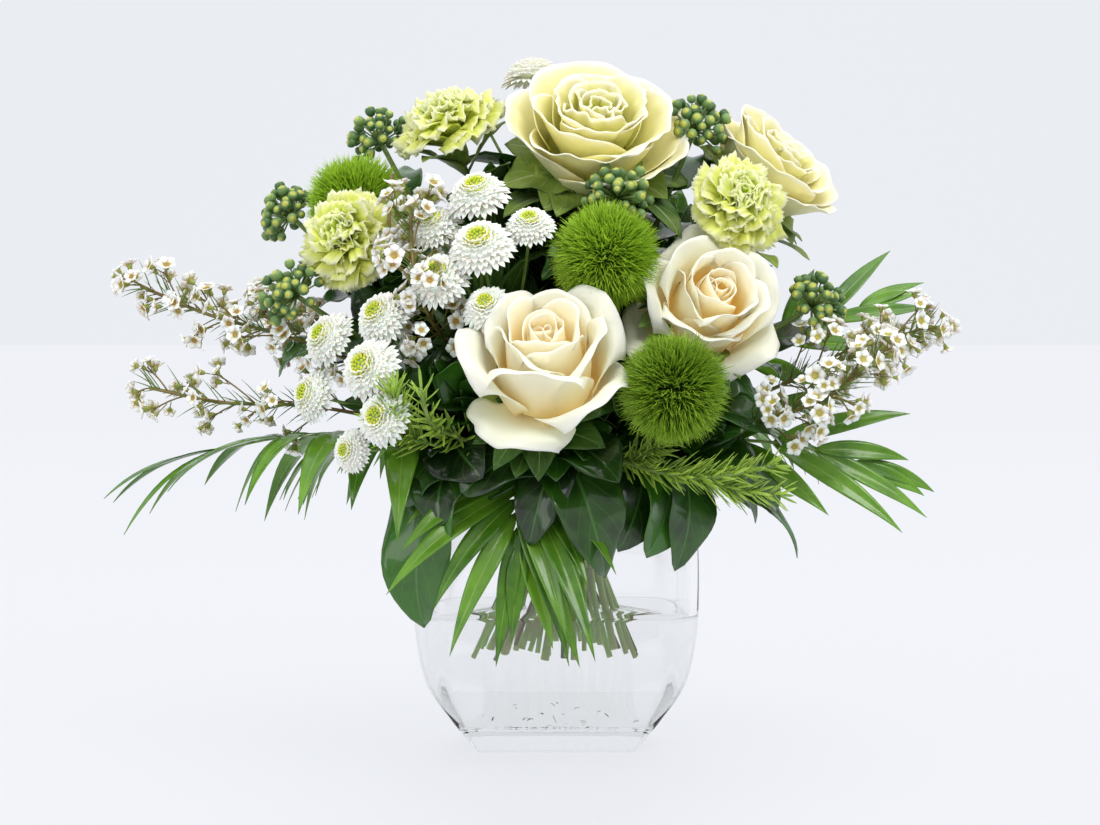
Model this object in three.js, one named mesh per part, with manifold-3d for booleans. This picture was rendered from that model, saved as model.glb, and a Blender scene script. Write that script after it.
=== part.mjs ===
// A hand-tied bouquet in a clear glass pillow vase: roses, ornamental cabbages, carnations, green ball
// dianthus, button chrysanthemums, ivy with berries, waxflower, rosemary and parlour palm.
// Millimetres, +Z up. The origin is the middle of the vase's foot, +X is to the viewer's right and -Y
// faces the viewer.
import * as THREE from "three";
import { ConvexGeometry } from "three/addons/geometries/ConvexGeometry.js";
import { mergeVertices } from "three/addons/utils/BufferGeometryUtils.js";
import Module from "manifold-3d";

const wasm = await Module();
wasm.setup();

// ---------------------------------------------------------------- driving dimensions

const GAP = 0.35; // clearance between neighbouring pieces
const BLADE = 0.8; // thickness of leaves and petals

// The vase's outside, level by level: height, half width, half depth and corner radius.
const VASE_LEVELS = [
  [0, 46.5, 31, 3],
  [1.5, 48, 32, 3.5],
  [20, 62, 41, 6],
  [40, 75, 49, 11],
  [66, 82, 54, 18],
  [95, 84, 56, 24],
  [134, 83, 55, 28],
  [158, 79, 52.5, 28],
  [168, 76.5, 51, 27],
];
const VASE_WALL = 5;
const VASE_FLOOR = 14; // thickness of the heavy glass foot
const CORNER_POINTS = 4; // points on each rounded corner of the plan
const FLOOR_ROUNDING = 5; // how far the inside floor's edge is drawn in
const WATER_LEVEL = 82;

// The stems are bound at the waist. All lean round the bundle the same way, so they never cross.
const WAIST_Z = 148;
const KNEE_Z = 172; // above this height each stem bends to its own head
const CUT_Z = 56; // height of the cut ends in the water
const LEAN = { x: 0.03, y: 0.021 }; // sideways run per mm of height, for each mm from the axis
const RING_PITCH = 5.6; // distance between the rings of stems at the waist
const RING_SLOTS = [1, 6, 12]; // stems in the inner rings; the last ring takes the rest
const CUT_STAGGER = 3; // step between the heights of neighbouring cut ends
const TWINE = { height: 9, thickness: 1.6 };

const BERRIES = { count: 6, radius: 3.6, reach: 15, core: 4.5 };
const STEM_LEAVES = { count: 2, width: 19, length: 44 };
const WAX = { twigs: 4, flowers: 3, needles: 2, radius: 6, reach: 8.5 };
const ROSEMARY_NEEDLES = 16;

const ROSE = "#f3ecd6";
const CABBAGE = "#eee7a8";
const CARNATION = "#dcecab";
const WHITE = "#f7f7f2";
const LIME = "#4f9a14";
const STEM = "#5f8440";
const IVY = "#2c4a2b";
const PALM = "#2f6a1c";
const NEEDLES = "#5d7f2f";
const STRAW = "#b79a62";
const CLEAR_GLASS = "#e8f0f0";
const CLEAR_WATER = "#dfeaf0";

// ---------------------------------------------------------------- small helpers

const vec = (x, y, z) => new THREE.Vector3(x, y, z);
const along = (a, b, t) => a.clone().lerp(b, t);
const unit = (x, y, z) => vec(x, y, z).normalize();
const radians = THREE.MathUtils.degToRad;
const GOLDEN_ANGLE = Math.PI * (3 - Math.sqrt(5));

// Repeatable random numbers from 0 to 1.
function dice(seed) {
  let state = seed;
  return () => {
    state = (state + 0x6d2b79f5) | 0;
    let t = Math.imul(state ^ (state >>> 15), 1 | state);
    t = (t + Math.imul(t ^ (t >>> 7), 61 | t)) ^ t;
    return ((t ^ (t >>> 14)) >>> 0) / 4294967296;
  };
}

// A closed geometry as a solid.
function solidOf(geometry) {
  const bare = new THREE.BufferGeometry();
  bare.setAttribute("position", geometry.getAttribute("position"));
  if (geometry.index) bare.setIndex(geometry.index);
  const merged = mergeVertices(bare, 1e-4);
  return new wasm.Manifold(
    new wasm.Mesh({
      numProp: 3,
      vertProperties: new Float32Array(merged.attributes.position.array),
      triVerts: new Uint32Array(merged.index.array),
    }),
  );
}

function solidFrom(points, triangles) {
  const geometry = new THREE.BufferGeometry().setFromPoints(points);
  geometry.setIndex(triangles.flat());
  return solidOf(geometry);
}

function joined(solids) {
  return solids.reduce((whole, solid) => whole.add(solid));
}

function middleOf(points) {
  return points.reduce((sum, p) => sum.add(p), vec(0, 0, 0)).divideScalar(points.length);
}

function largestPiece(solid) {
  return solid.decompose().reduce((best, piece) => (piece.volume() > best.volume() ? piece : best));
}

function pointsOf(solid) {
  const mesh = solid.getMesh();
  const points = [];
  for (let i = 0; i < mesh.numVert; i++) {
    points.push(new THREE.Vector3().fromArray(mesh.vertProperties, i * mesh.numProp));
  }
  return points;
}

// The convex hull of a solid, at least `grow` larger on every side.
function hullOf(solid, grow) {
  const reach = grow * Math.sqrt(3);
  const axes = [vec(reach, 0, 0), vec(0, reach, 0), vec(0, 0, reach)];
  const offsets = axes.flatMap((axis) => [axis, axis.clone().negate()]);
  const points = pointsOf(solid).flatMap((p) => offsets.map((offset) => p.clone().add(offset)));
  return solidOf(new ConvexGeometry(points));
}

// Places a geometry drawn round the local +Z axis at a point, facing a direction.
function aim(geometry, at, facing, spin = 0) {
  const turn = new THREE.Quaternion().setFromUnitVectors(vec(0, 0, 1), facing.clone().normalize());
  geometry.rotateZ(spin);
  geometry.applyQuaternion(turn);
  geometry.translate(at.x, at.y, at.z);
  return geometry;
}

// The two directions across `facing`, the second as near upright as can be.
function acrossOf(facing) {
  const side = vec(0, 0, 1).cross(facing);
  if (side.length() < 1e-3) side.set(1, 0, 0);
  side.normalize();
  return [side, facing.clone().cross(side).normalize()];
}

// Stacked outlines with equal numbers of points, closed at each end by a fan from the point given for it.
function loft(rings, start = middleOf(rings[0]), finish = middleOf(rings.at(-1))) {
  const count = rings[0].length;
  const last = (rings.length - 1) * count;
  const [first, final] = [rings.length * count, rings.length * count + 1];
  const triangles = [];
  for (let i = 0; i < count; i++) {
    const next = (i + 1) % count;
    for (let level = 0; level < last; level += count) {
      const [a, b] = [level + i, level + next];
      triangles.push([a, b, b + count], [a, b + count, a + count]);
    }
    triangles.push([first, next, i], [final, last + i, last + next]);
  }
  return solidFrom([...rings.flat(), start, finish], triangles);
}

// A tube along a curve.
function stalk(points, radius, { sides = 5, steps = 6, grow = 0 } = {}) {
  const section = new THREE.Shape();
  for (let i = 0; i < sides; i++) {
    const angle = (i / sides) * 2 * Math.PI;
    section[i ? "lineTo" : "moveTo"]((radius + grow) * Math.cos(angle), (radius + grow) * Math.sin(angle));
  }
  section.closePath();
  const path = points.length > 2 ? new THREE.CatmullRomCurve3(points) : new THREE.LineCurve3(...points);
  return solidOf(new THREE.ExtrudeGeometry(section, { steps, bevelEnabled: false, extrudePath: path }));
}

// A three-sided needle that starts inside what it grows from.
function needle(at, direction, length, radius, grow = 0) {
  const cone = new THREE.ConeGeometry(radius + grow, length + grow, 3).rotateX(Math.PI / 2);
  cone.translate(0, 0, (length + grow) / 2);
  return solidOf(aim(cone, at, direction));
}

// ---------------------------------------------------------------- vase, water and twine

// One level of the vase's plan: a rectangle with rounded corners.
function planAt(z, halfWidth, halfDepth, corner) {
  const points = [];
  for (let quarter = 0; quarter < 4; quarter++) {
    const signX = quarter === 0 || quarter === 3 ? 1 : -1;
    const signY = quarter < 2 ? 1 : -1;
    for (let i = 0; i < CORNER_POINTS; i++) {
      const angle = (quarter + i / (CORNER_POINTS - 1)) * (Math.PI / 2);
      points.push(
        vec(
          signX * (halfWidth - corner) + corner * Math.cos(angle),
          signY * (halfDepth - corner) + corner * Math.sin(angle),
          z,
        ),
      );
    }
  }
  return points;
}

// The inside of the vase at a height, moved in by `inset` from the glass.
function insideAt(z, inset) {
  const above = VASE_LEVELS.findIndex(([height]) => height >= z);
  const [low, high] = [VASE_LEVELS[above - 1], VASE_LEVELS[above]];
  const share = (z - low[0]) / (high[0] - low[0]);
  const [, halfWidth, halfDepth, corner] = low.map((value, i) => value + share * (high[i] - value));
  const inward = VASE_WALL + inset;
  return planAt(z, halfWidth - inward, halfDepth - inward, Math.max(corner - inward, 1.5));
}

const INSIDE_LEVELS = VASE_LEVELS.map(([z]) => z).filter((z) => z > VASE_FLOOR);

function vaseSolid() {
  const outside = VASE_LEVELS.map((level) => planAt(...level));
  const inside = INSIDE_LEVELS.map((z) => insideAt(z, 0)).reverse();
  return loft([...outside, ...inside, insideAt(VASE_FLOOR, FLOOR_ROUNDING)]);
}

function waterSolid() {
  const levels = [...INSIDE_LEVELS.filter((z) => z < WATER_LEVEL), WATER_LEVEL];
  const foot = insideAt(VASE_FLOOR, FLOOR_ROUNDING + GAP).map((p) => p.setZ(VASE_FLOOR + GAP));
  return loft([foot, ...levels.map((z) => insideAt(z, GAP))]);
}

function twineSolid(bundleRadius) {
  const inner = bundleRadius + GAP;
  const outer = inner + TWINE.thickness;
  const half = TWINE.height / 2;
  const profile = [
    [inner, -half],
    [outer, -half + 1],
    [outer, half - 1],
    [inner, half],
    [inner, -half],
  ].map(([r, y]) => new THREE.Vector2(r, y));
  const ring = new THREE.LatheGeometry(profile, 16).rotateX(Math.PI / 2).translate(0, 0, WAIST_Z);
  return solidOf(ring);
}

// ---------------------------------------------------------------- the flowers' parts

// Moves points drawn round +Z to a bloom's place and facing.
function placer(at, facing, spin = 0) {
  const turn = new THREE.Quaternion()
    .setFromUnitVectors(vec(0, 0, 1), facing.clone().normalize())
    .multiply(new THREE.Quaternion().setFromAxisAngle(vec(0, 0, 1), spin));
  return (p) => p.applyQuaternion(turn).add(at);
}

// The corners of one petal's edge: its turn within the petal, and its reach and lift on a full rim.
const SHINGLED = [
  { turn: 0.04, reach: 0.9, lift: -0.07 },
  { turn: 0.5, reach: 1, lift: 0.05 },
  { turn: 0.96, reach: 1.07, lift: -0.07 },
];
const TOOTHED = [
  { turn: 0, reach: 1, lift: 0.05 },
  { turn: 0.5, reach: 0.82, lift: -0.05 },
];

// Blooms as nested whorls. Rings run from the foot over each rim and groove to the crown. Each ring has its
// reach and height as shares of the radius, how much it follows the petals' edges, and its turn in petals.
const ROSE_FORM = {
  petals: 5,
  edge: SHINGLED,
  foot: -0.82,
  rings: [
    [0.3, -0.78, 0, 0],
    [0.8, -0.42, 0.6, 0],
    [1.0, -0.04, 1, 0],
    [0.68, -0.22, 0, 0.25],
    [0.78, 0.2, 1, 0.5],
    [0.48, 0.0, 0, 0.75],
    [0.52, 0.36, 1, 1],
    [0.26, 0.14, 0, 1.25],
    [0.28, 0.42, 1, 1.5],
  ],
  crown: 0.24,
};
const CABBAGE_FORM = {
  petals: 6,
  edge: SHINGLED,
  foot: -0.52,
  rings: [
    [0.24, -0.5, 0, 0],
    [0.7, -0.34, 0.6, 0],
    [1.0, -0.06, 1, 0],
    [0.62, -0.16, 0, 0.25],
    [0.76, 0.12, 1, 0.5],
    [0.42, -0.06, 0, 0.75],
    [0.5, 0.2, 1, 1],
    [0.22, 0.02, 0, 1.25],
    [0.24, 0.22, 1, 1.5],
  ],
  crown: 0.08,
};
const CARNATION_FORM = {
  petals: 8,
  edge: TOOTHED,
  foot: -0.62,
  rings: [
    [0.26, -0.58, 0, 0],
    [1.02, -0.08, 1, 0],
    [0.56, -0.14, 0, 0.25],
    [0.84, 0.26, 1, 0.5],
    [0.34, 0.08, 0, 0.75],
    [0.54, 0.5, 1, 1],
  ],
  crown: 0.34,
};
const BUTTON_FORM = {
  petals: 6,
  edge: TOOTHED,
  foot: -0.46,
  rings: [
    [1, -0.1, 1, 0],
    [0.64, 0.14, 1, 0.5],
    [0.26, 0.12, 0, 0.5],
  ],
  crown: 0.22,
};
const PLAIN = [{ turn: 0, reach: 1, lift: 0 }];
const SEPAL_FORM = { petals: 5, edge: PLAIN, foot: -1, rings: [[0.5, -0.86, 0, 0]], crown: -0.88 };
const OUTER_LEAF_FORM = {
  petals: 6,
  edge: [
    { turn: 0, reach: 0.74, lift: -0.12 },
    { turn: 0.3, reach: 1, lift: 0 },
    { turn: 0.7, reach: 1, lift: 0 },
  ],
  foot: -0.78,
  rings: [
    [0.8, -0.56, 0.4, 0],
    [1.16, -0.2, 1, 0],
    [0.7, -0.52, 0.4, 0],
  ],
  crown: -0.6,
};
const WAX_FORM = { petals: 5, edge: PLAIN, rings: [[1, 0.1, 0, 0]], crown: -0.1 };

function whorls({ at, facing, radius, spin = 0 }, { petals, edge, foot, rings, crown }) {
  const place = placer(at, facing, spin);
  const outlines = rings.map(([reach, height, share, turn]) => {
    const outline = [];
    for (let petal = 0; petal < petals; petal++) {
      for (const corner of edge) {
        const angle = ((petal + corner.turn + turn) / petals) * 2 * Math.PI;
        const r = radius * reach * (1 + share * (corner.reach - 1));
        const z = radius * (height + share * corner.lift);
        outline.push(place(vec(r * Math.cos(angle), r * Math.sin(angle), z)));
      }
    }
    return outline;
  });
  return loft(outlines, place(vec(0, 0, foot * radius)), place(vec(0, 0, crown * radius)));
}

// A ball of fine bracts: some points of a geodesic ball stand out as spikes.
function spikyBall(at, radius) {
  const facets = new THREE.IcosahedronGeometry(1, 2);
  facets.deleteAttribute("normal");
  facets.deleteAttribute("uv");
  const ball = mergeVertices(facets, 1e-3);
  const position = ball.attributes.position;
  const roll = dice(11);
  for (let i = 0; i < position.count; i++) {
    const p = new THREE.Vector3().fromBufferAttribute(position, i);
    p.setLength(radius * (roll() < 0.4 ? 0.94 + 0.06 * roll() : 0.68 + 0.08 * roll()));
    position.setXYZ(i, p.x, p.y, p.z);
  }
  ball.translate(at.x, at.y, at.z);
  return solidOf(ball);
}

// An ivy berry on its own short stalk, from the middle of the cluster outwards.
function berry(at, direction, reach, radius, grow = 0) {
  const profile = [
    [0, 0],
    [radius + grow, reach - radius],
    [0.8 * radius + grow, reach],
    [0, reach + 0.5 + grow],
  ].map(([x, y]) => new THREE.Vector2(x, y));
  return solidOf(aim(new THREE.LatheGeometry(profile, 4).rotateX(Math.PI / 2), at, direction));
}

// A leaf folded along its rib, with a narrow foot at `base`; `face` is the way its upper side looks.
function leaf(base, tip, face, width, { arch = 0.12, fold = 0.14, grow = 0 } = {}) {
  const line = tip.clone().sub(base);
  const length = line.length();
  const side = line.clone().cross(face).normalize();
  const normal = side.clone().cross(line).normalize();
  const half = width / 2 + grow;
  const at = (t, s) =>
    along(base, tip, t)
      .addScaledVector(side, s * half)
      .addScaledVector(normal, arch * length * 4 * t * (1 - t) + fold * width * Math.abs(s));
  const shape = [
    at(0, 0),
    ...[-1, 0, 1].map((s) => at(0.42, s)),
    ...[-0.72, 0, 0.72].map((s) => at(0.74, s)),
    at(1, 0),
  ];
  const offset = normal.clone().multiplyScalar(BLADE / 2 + grow);
  const points = [...shape.map((p) => p.clone().add(offset)), ...shape.map((p) => p.clone().sub(offset))];
  const upper = [[0, 2, 1], [0, 3, 2], [1, 2, 5], [1, 5, 4], [2, 3, 6], [2, 6, 5], [4, 5, 7], [5, 6, 7]];
  const edge = [0, 3, 6, 7, 4, 1];
  const triangles = [...upper, ...upper.map(([a, b, c]) => [a + 8, c + 8, b + 8])];
  edge.forEach((a, i) => {
    const b = edge[(i + 1) % edge.length];
    triangles.push([a, b + 8, b], [a, a + 8, b + 8]);
  });
  return solidFrom(points, triangles);
}

// A palm frond: one thin blade cut to the rib, whose leaflets hang more towards their tips.
function frond({ rib, pairs = 6, reach, sweep = 40, droop = 0.5, up = vec(0, 0, 1), grow = 0 }) {
  const curve = new THREE.CatmullRomCurve3(rib);
  const half = 1.3 + grow;
  const thickness = BLADE / 2 + grow;
  const points = [];
  const triangles = [];
  const put = (p, normal) => {
    points.push(...[thickness, -thickness].map((rise) => p.clone().addScaledVector(normal, rise)));
    return points.length - 2;
  };
  const face = (a, b, c) => triangles.push([a, b, c], [a + 1, c + 1, b + 1]);
  const wall = (a, b) => triangles.push([a, b + 1, b], [a, a + 1, b + 1]);
  const stations = Array.from({ length: pairs + 1 }, (_, i) => {
    const at = curve.getPointAt(i / pairs);
    const tangent = curve.getTangentAt(i / pairs);
    const side = tangent.clone().cross(up).normalize();
    const normal = side.clone().cross(tangent).normalize();
    const edges = [-1, 1].map((s) => put(at.clone().addScaledVector(side, s * half), normal));
    return { at, tangent, side, normal, edges };
  });
  for (let i = 0; i < pairs; i++) {
    const [near, far] = [stations[i], stations[i + 1]];
    face(near.edges[0], near.edges[1], far.edges[1]);
    face(near.edges[0], far.edges[1], far.edges[0]);
    const share = (i + 0.5) / pairs;
    const angle = radians(90 - sweep * (0.7 + 0.6 * share));
    const length = reach * (0.72 + 0.55 * Math.sin(Math.PI * Math.min(1, share * 0.9 + 0.1)) - 0.1 * share);
    const middle = along(near.at, far.at, 0.5);
    [-1, 1].forEach((s, k) => {
      const out = near.side
        .clone()
        .multiplyScalar(s * Math.sin(angle))
        .addScaledVector(near.tangent, Math.cos(angle));
      const belly = middle.clone().addScaledVector(out, 0.5 * length);
      belly.addScaledVector(near.normal, 0.04 * length);
      belly.z -= droop * 0.16 * length;
      const tip = middle.clone().addScaledVector(out, (1 - 0.25 * droop) * length);
      tip.z -= droop * 0.75 * length;
      const lie = tip.clone().sub(middle);
      const normal = lie.clone().cross(near.tangent).multiplyScalar(s).normalize();
      const width = near.tangent
        .clone()
        .addScaledVector(lie.clone().normalize(), -near.tangent.dot(lie.clone().normalize()))
        .setLength(Math.min(0.42 * near.at.distanceTo(far.at), 5.5) + grow);
      const a = put(belly.clone().sub(width), normal);
      const b = put(belly.clone().add(width), normal);
      const c = put(tip, normal);
      const [p, q] = [near.edges[k], far.edges[k]];
      if (s > 0) {
        face(p, a, b);
        face(p, b, q);
        face(a, c, b);
        wall(p, a);
        wall(a, c);
        wall(c, b);
        wall(b, q);
      } else {
        face(p, b, a);
        face(p, q, b);
        face(a, b, c);
        wall(a, p);
        wall(c, a);
        wall(b, c);
        wall(q, b);
      }
    });
  }
  const end = stations[pairs];
  const belly = end.at.clone().addScaledVector(end.tangent, 0.4 * reach);
  const tip = end.at.clone().addScaledVector(end.tangent, 0.85 * reach);
  tip.z -= droop * 0.3 * reach;
  const shoulders = [-1, 1].map((s) => belly.clone().addScaledVector(end.side, s * (5 + grow)));
  const [a, b] = shoulders.map((shoulder) => put(shoulder, end.normal));
  const c = put(tip, end.normal);
  face(end.edges[0], end.edges[1], b);
  face(end.edges[0], b, a);
  face(a, b, c);
  wall(end.edges[1], b);
  wall(b, c);
  wall(c, a);
  wall(a, end.edges[0]);
  wall(stations[0].edges[0], stations[0].edges[1]);
  return solidFrom(points, triangles);
}

// ---------------------------------------------------------------- the arrangement

// The round blooms: the middle, the way they face and the radius.
const roses = [
  { name: "rose_front", at: vec(-6, -148, 231), facing: unit(0.05, -0.8, 0.55), radius: 42 },
  { name: "rose_right", at: vec(86, -112, 266), facing: unit(0.35, -0.85, 0.4), radius: 39 },
  { name: "rose_back", at: vec(-14, 138, 252), facing: unit(-0.1, 0.85, 0.5), radius: 41 },
];
const cabbages = [
  { name: "cabbage_top", at: vec(22, -52, 368), facing: unit(0.05, -0.62, 0.78), radius: 52 },
  { name: "cabbage_right", at: vec(124, -22, 342), facing: unit(0.6, -0.35, 0.72), radius: 42 },
];
const carnations = [
  { name: "carnation_left", at: vec(-117, -84, 300), facing: unit(-0.4, -0.8, 0.4), radius: 28 },
  { name: "carnation_right", at: vec(101, -86, 320), facing: unit(0.35, -0.75, 0.5), radius: 27 },
  { name: "carnation_top", at: vec(-62, -40, 366), facing: unit(-0.35, -0.25, 0.9), radius: 30 },
  { name: "carnation_back", at: vec(88, 104, 292), facing: unit(0.5, 0.7, 0.5), radius: 29 },
];
const balls = [
  { name: "dianthus_middle", at: vec(27, -116, 289), facing: unit(0.1, -0.8, 0.55), radius: 28 },
  { name: "dianthus_low", at: vec(62, -154, 218), facing: unit(0.3, -0.9, 0.2), radius: 28 },
  { name: "dianthus_left", at: vec(-115, -50, 328), facing: unit(-0.5, -0.35, 0.75), radius: 28 },
  { name: "dianthus_back", at: vec(30, 104, 330), facing: unit(0.15, 0.6, 0.75), radius: 28 },
];
// Chrysanthemum sprays: where the stem forks, and each head's place and radius.
const buttons = [
  {
    name: "chrysanthemum_upper",
    fork: vec(-44, -88, 262),
    heads: [
      [-44, -114, 326, 15],
      [-68, -110, 308, 13],
      [-42, -132, 297, 16],
      [-15, -122, 308, 12],
      [-65, -130, 279, 15],
      [-38, -138, 263, 12],
    ],
  },
  {
    name: "chrysanthemum_lower",
    fork: vec(-82, -88, 205),
    heads: [
      [-128, -110, 246, 14],
      [-97, -126, 258, 14],
      [-103, -139, 230, 15.5],
      [-137, -108, 214, 13],
      [-95, -148, 203, 13.5],
      [-113, -132, 184, 10.5],
    ],
  },
  {
    name: "chrysanthemum_top",
    fork: vec(-6, 10, 352),
    heads: [
      [-14, 2, 404, 16],
      [18, 14, 402, 16],
      [-46, 14, 383, 15],
    ],
  },
  {
    name: "chrysanthemum_back",
    fork: vec(-72, 70, 240),
    heads: [
      [-78, 108, 300, 17],
      [-108, 84, 272, 16],
      [-84, 126, 262, 16],
      [-116, 92, 234, 15],
    ],
  },
];
// Ivy: the cluster's middle (or none), then leaves as base, tip and width.
const ivies = [
  {
    name: "ivy_left",
    cluster: vec(-146, -80, 268),
    leaves: [
      [[-120, -62, 236], [-158, -66, 222], 24],
      [[-105, -55, 222], [-128, -92, 228], 22],
    ],
  },
  {
    name: "ivy_upper_left",
    cluster: vec(-156, -22, 316),
    leaves: [
      [[-120, -12, 280], [-150, 18, 288], 26],
      [[-100, -8, 262], [-140, -14, 262], 24],
    ],
  },
  {
    name: "ivy_top_left",
    cluster: vec(-104, -8, 360),
    leaves: [
      [[-84, 4, 330], [-104, 34, 340], 26],
      [[-70, 6, 310], [-104, 22, 306], 26],
    ],
  },
  {
    name: "ivy_middle",
    cluster: vec(34, -92, 322),
    leaves: [[[14, -78, 290], [-8, -104, 276], 26]],
  },
  {
    name: "ivy_top_right",
    cluster: vec(80, -40, 364),
    leaves: [
      [[66, -22, 332], [84, 10, 350], 26],
      [[62, -10, 300], [84, 24, 306], 26],
    ],
  },
  {
    name: "ivy_right",
    cluster: vec(144, -74, 262),
    leaves: [
      [[118, -50, 240], [156, -40, 236], 26],
      [[104, -40, 222], [126, -76, 222], 22],
    ],
  },
  {
    name: "ivy_back",
    cluster: vec(-46, 128, 314),
    leaves: [
      [[-36, 96, 268], [-62, 124, 250], 26],
      [[-22, 70, 240], [20, 108, 236], 28],
    ],
  },
  {
    name: "ivy_collar_left",
    over: [vec(-36, -50, 182), vec(-50, -72, 184)],
    leaves: [
      [[-54, -84, 172], [-84, -96, 158], 30],
      [[-50, -82, 160], [-74, -90, 82], 38],
      [[-44, -92, 186], [-40, -122, 168], 34],
    ],
  },
  {
    name: "ivy_collar_front",
    over: [vec(2, -52, 182), vec(2, -78, 186)],
    leaves: [
      [[-6, -96, 184], [-15, -112, 130], 26],
      [[10, -94, 180], [30, -108, 114], 40],
    ],
  },
  {
    name: "ivy_collar_right",
    over: [vec(40, -50, 182), vec(58, -70, 182)],
    leaves: [
      [[54, -84, 176], [46, -98, 122], 34],
      [[68, -82, 170], [70, -92, 108], 30],
      [[80, -76, 178], [120, -92, 146], 32],
    ],
  },
  {
    name: "ivy_low_left",
    over: [vec(-30, -44, 184), vec(-42, -80, 200)],
    leaves: [
      [[-42, -84, 200], [-52, -128, 232], 30],
      [[-38, -72, 194], [-16, -116, 196], 28],
      [[-42, -84, 202], [-86, -112, 216], 26],
    ],
  },
  {
    name: "ivy_low_right",
    over: [vec(28, -44, 186), vec(52, -76, 204)],
    leaves: [
      [[54, -80, 206], [92, -120, 214], 30],
      [[40, -62, 196], [92, -84, 204], 28],
      [[54, -82, 206], [40, -122, 236], 28],
    ],
  },
  {
    name: "ivy_back_left",
    over: [vec(-34, 44, 184), vec(-52, 72, 204)],
    leaves: [
      [[-54, 76, 206], [-92, 108, 206], 34],
      [[-44, 60, 196], [-32, 112, 206], 34],
      [[-54, 76, 206], [-60, 116, 176], 34],
    ],
  },
  {
    name: "ivy_back_right",
    over: [vec(36, 44, 184), vec(56, 68, 206)],
    leaves: [
      [[58, 72, 208], [96, 96, 226], 34],
      [[46, 56, 196], [52, 112, 200], 34],
      [[58, 72, 208], [108, 72, 196], 34],
    ],
  },
  {
    name: "ivy_collar_back",
    over: [vec(14, 54, 182), vec(20, 74, 184)],
    leaves: [
      [[18, 60, 184], [-26, 104, 138], 36],
      [[26, 90, 178], [34, 114, 118], 36],
      [[24, 72, 184], [84, 88, 160], 34],
    ],
  },
];
const waxes = [
  {
    name: "waxflower_left_upper",
    path: [vec(-96, -48, 222), vec(-150, -62, 244), vec(-200, -58, 258), vec(-238, -58, 274)],
    seed: 3,
  },
  {
    name: "waxflower_left_lower",
    path: [vec(-90, -58, 196), vec(-140, -76, 206), vec(-190, -74, 208), vec(-232, -66, 216)],
    seed: 5,
  },
  {
    name: "waxflower_middle",
    path: [vec(-60, -70, 240), vec(-82, -92, 276), vec(-92, -96, 300), vec(-92, -84, 336)],
    seed: 8,
  },
  {
    name: "waxflower_right_upper",
    path: [vec(108, -56, 208), vec(150, -84, 228), vec(184, -82, 240), vec(210, -74, 252)],
    seed: 13,
  },
  {
    name: "waxflower_right_lower",
    path: [vec(90, -62, 192), vec(124, -104, 202), vec(150, -122, 214), vec(176, -116, 236)],
    seed: 21,
  },
  {
    name: "waxflower_back",
    path: [vec(-60, 56, 210), vec(-110, 66, 222), vec(-150, 72, 240), vec(-184, 66, 262)],
    seed: 34,
  },
];
const rosemaries = [
  {
    name: "rosemary_right",
    path: [vec(22, -76, 182), vec(48, -112, 173), vec(82, -130, 169), vec(118, -134, 176)],
    seed: 4,
  },
  {
    name: "rosemary_left",
    path: [vec(-40, -90, 184), vec(-58, -118, 192), vec(-68, -142, 200), vec(-72, -156, 218)],
    seed: 6,
  },
];
const palms = [
  {
    name: "palm_left",
    rib: [vec(-80, -66, 186), vec(-120, -80, 190), vec(-158, -84, 188), vec(-186, -82, 182)],
    reach: 72,
    droop: 0.85,
    pairs: 7,
  },
  {
    name: "palm_front",
    over: [vec(-8, -46, 178)],
    rib: [vec(-12, -66, 176), vec(-18, -86, 164), vec(-22, -98, 148), vec(-20, -102, 132)],
    reach: 62,
    droop: 0.45,
    up: vec(0.1, -0.75, 0.65),
    pairs: 7,
  },
  {
    name: "palm_right_lower",
    rib: [vec(72, -58, 184), vec(110, -70, 186), vec(142, -74, 182), vec(168, -72, 174)],
    reach: 56,
    droop: 0.3,
  },
  {
    name: "palm_right_upper",
    rib: [vec(110, -6, 228), vec(140, 0, 244), vec(164, 4, 256), vec(182, 6, 262)],
    reach: 52,
    droop: 0.1,
    up: vec(-0.3, -0.7, 0.6),
  },
  {
    name: "palm_back_left",
    rib: [vec(-56, 58, 184), vec(-92, 82, 188), vec(-122, 98, 184), vec(-144, 108, 174)],
    reach: 60,
    droop: 0.6,
  },
  {
    name: "palm_back_right",
    rib: [vec(66, 58, 186), vec(102, 78, 190), vec(132, 92, 186), vec(156, 100, 176)],
    reach: 60,
    droop: 0.5,
  },
];

const DOME_CENTRE = vec(0, 0, 165);
const outward = (p) => p.clone().sub(DOME_CENTRE).normalize();
const under = (bloom, depth) => bloom.at.clone().addScaledVector(bloom.facing, -depth * bloom.radius);

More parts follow.
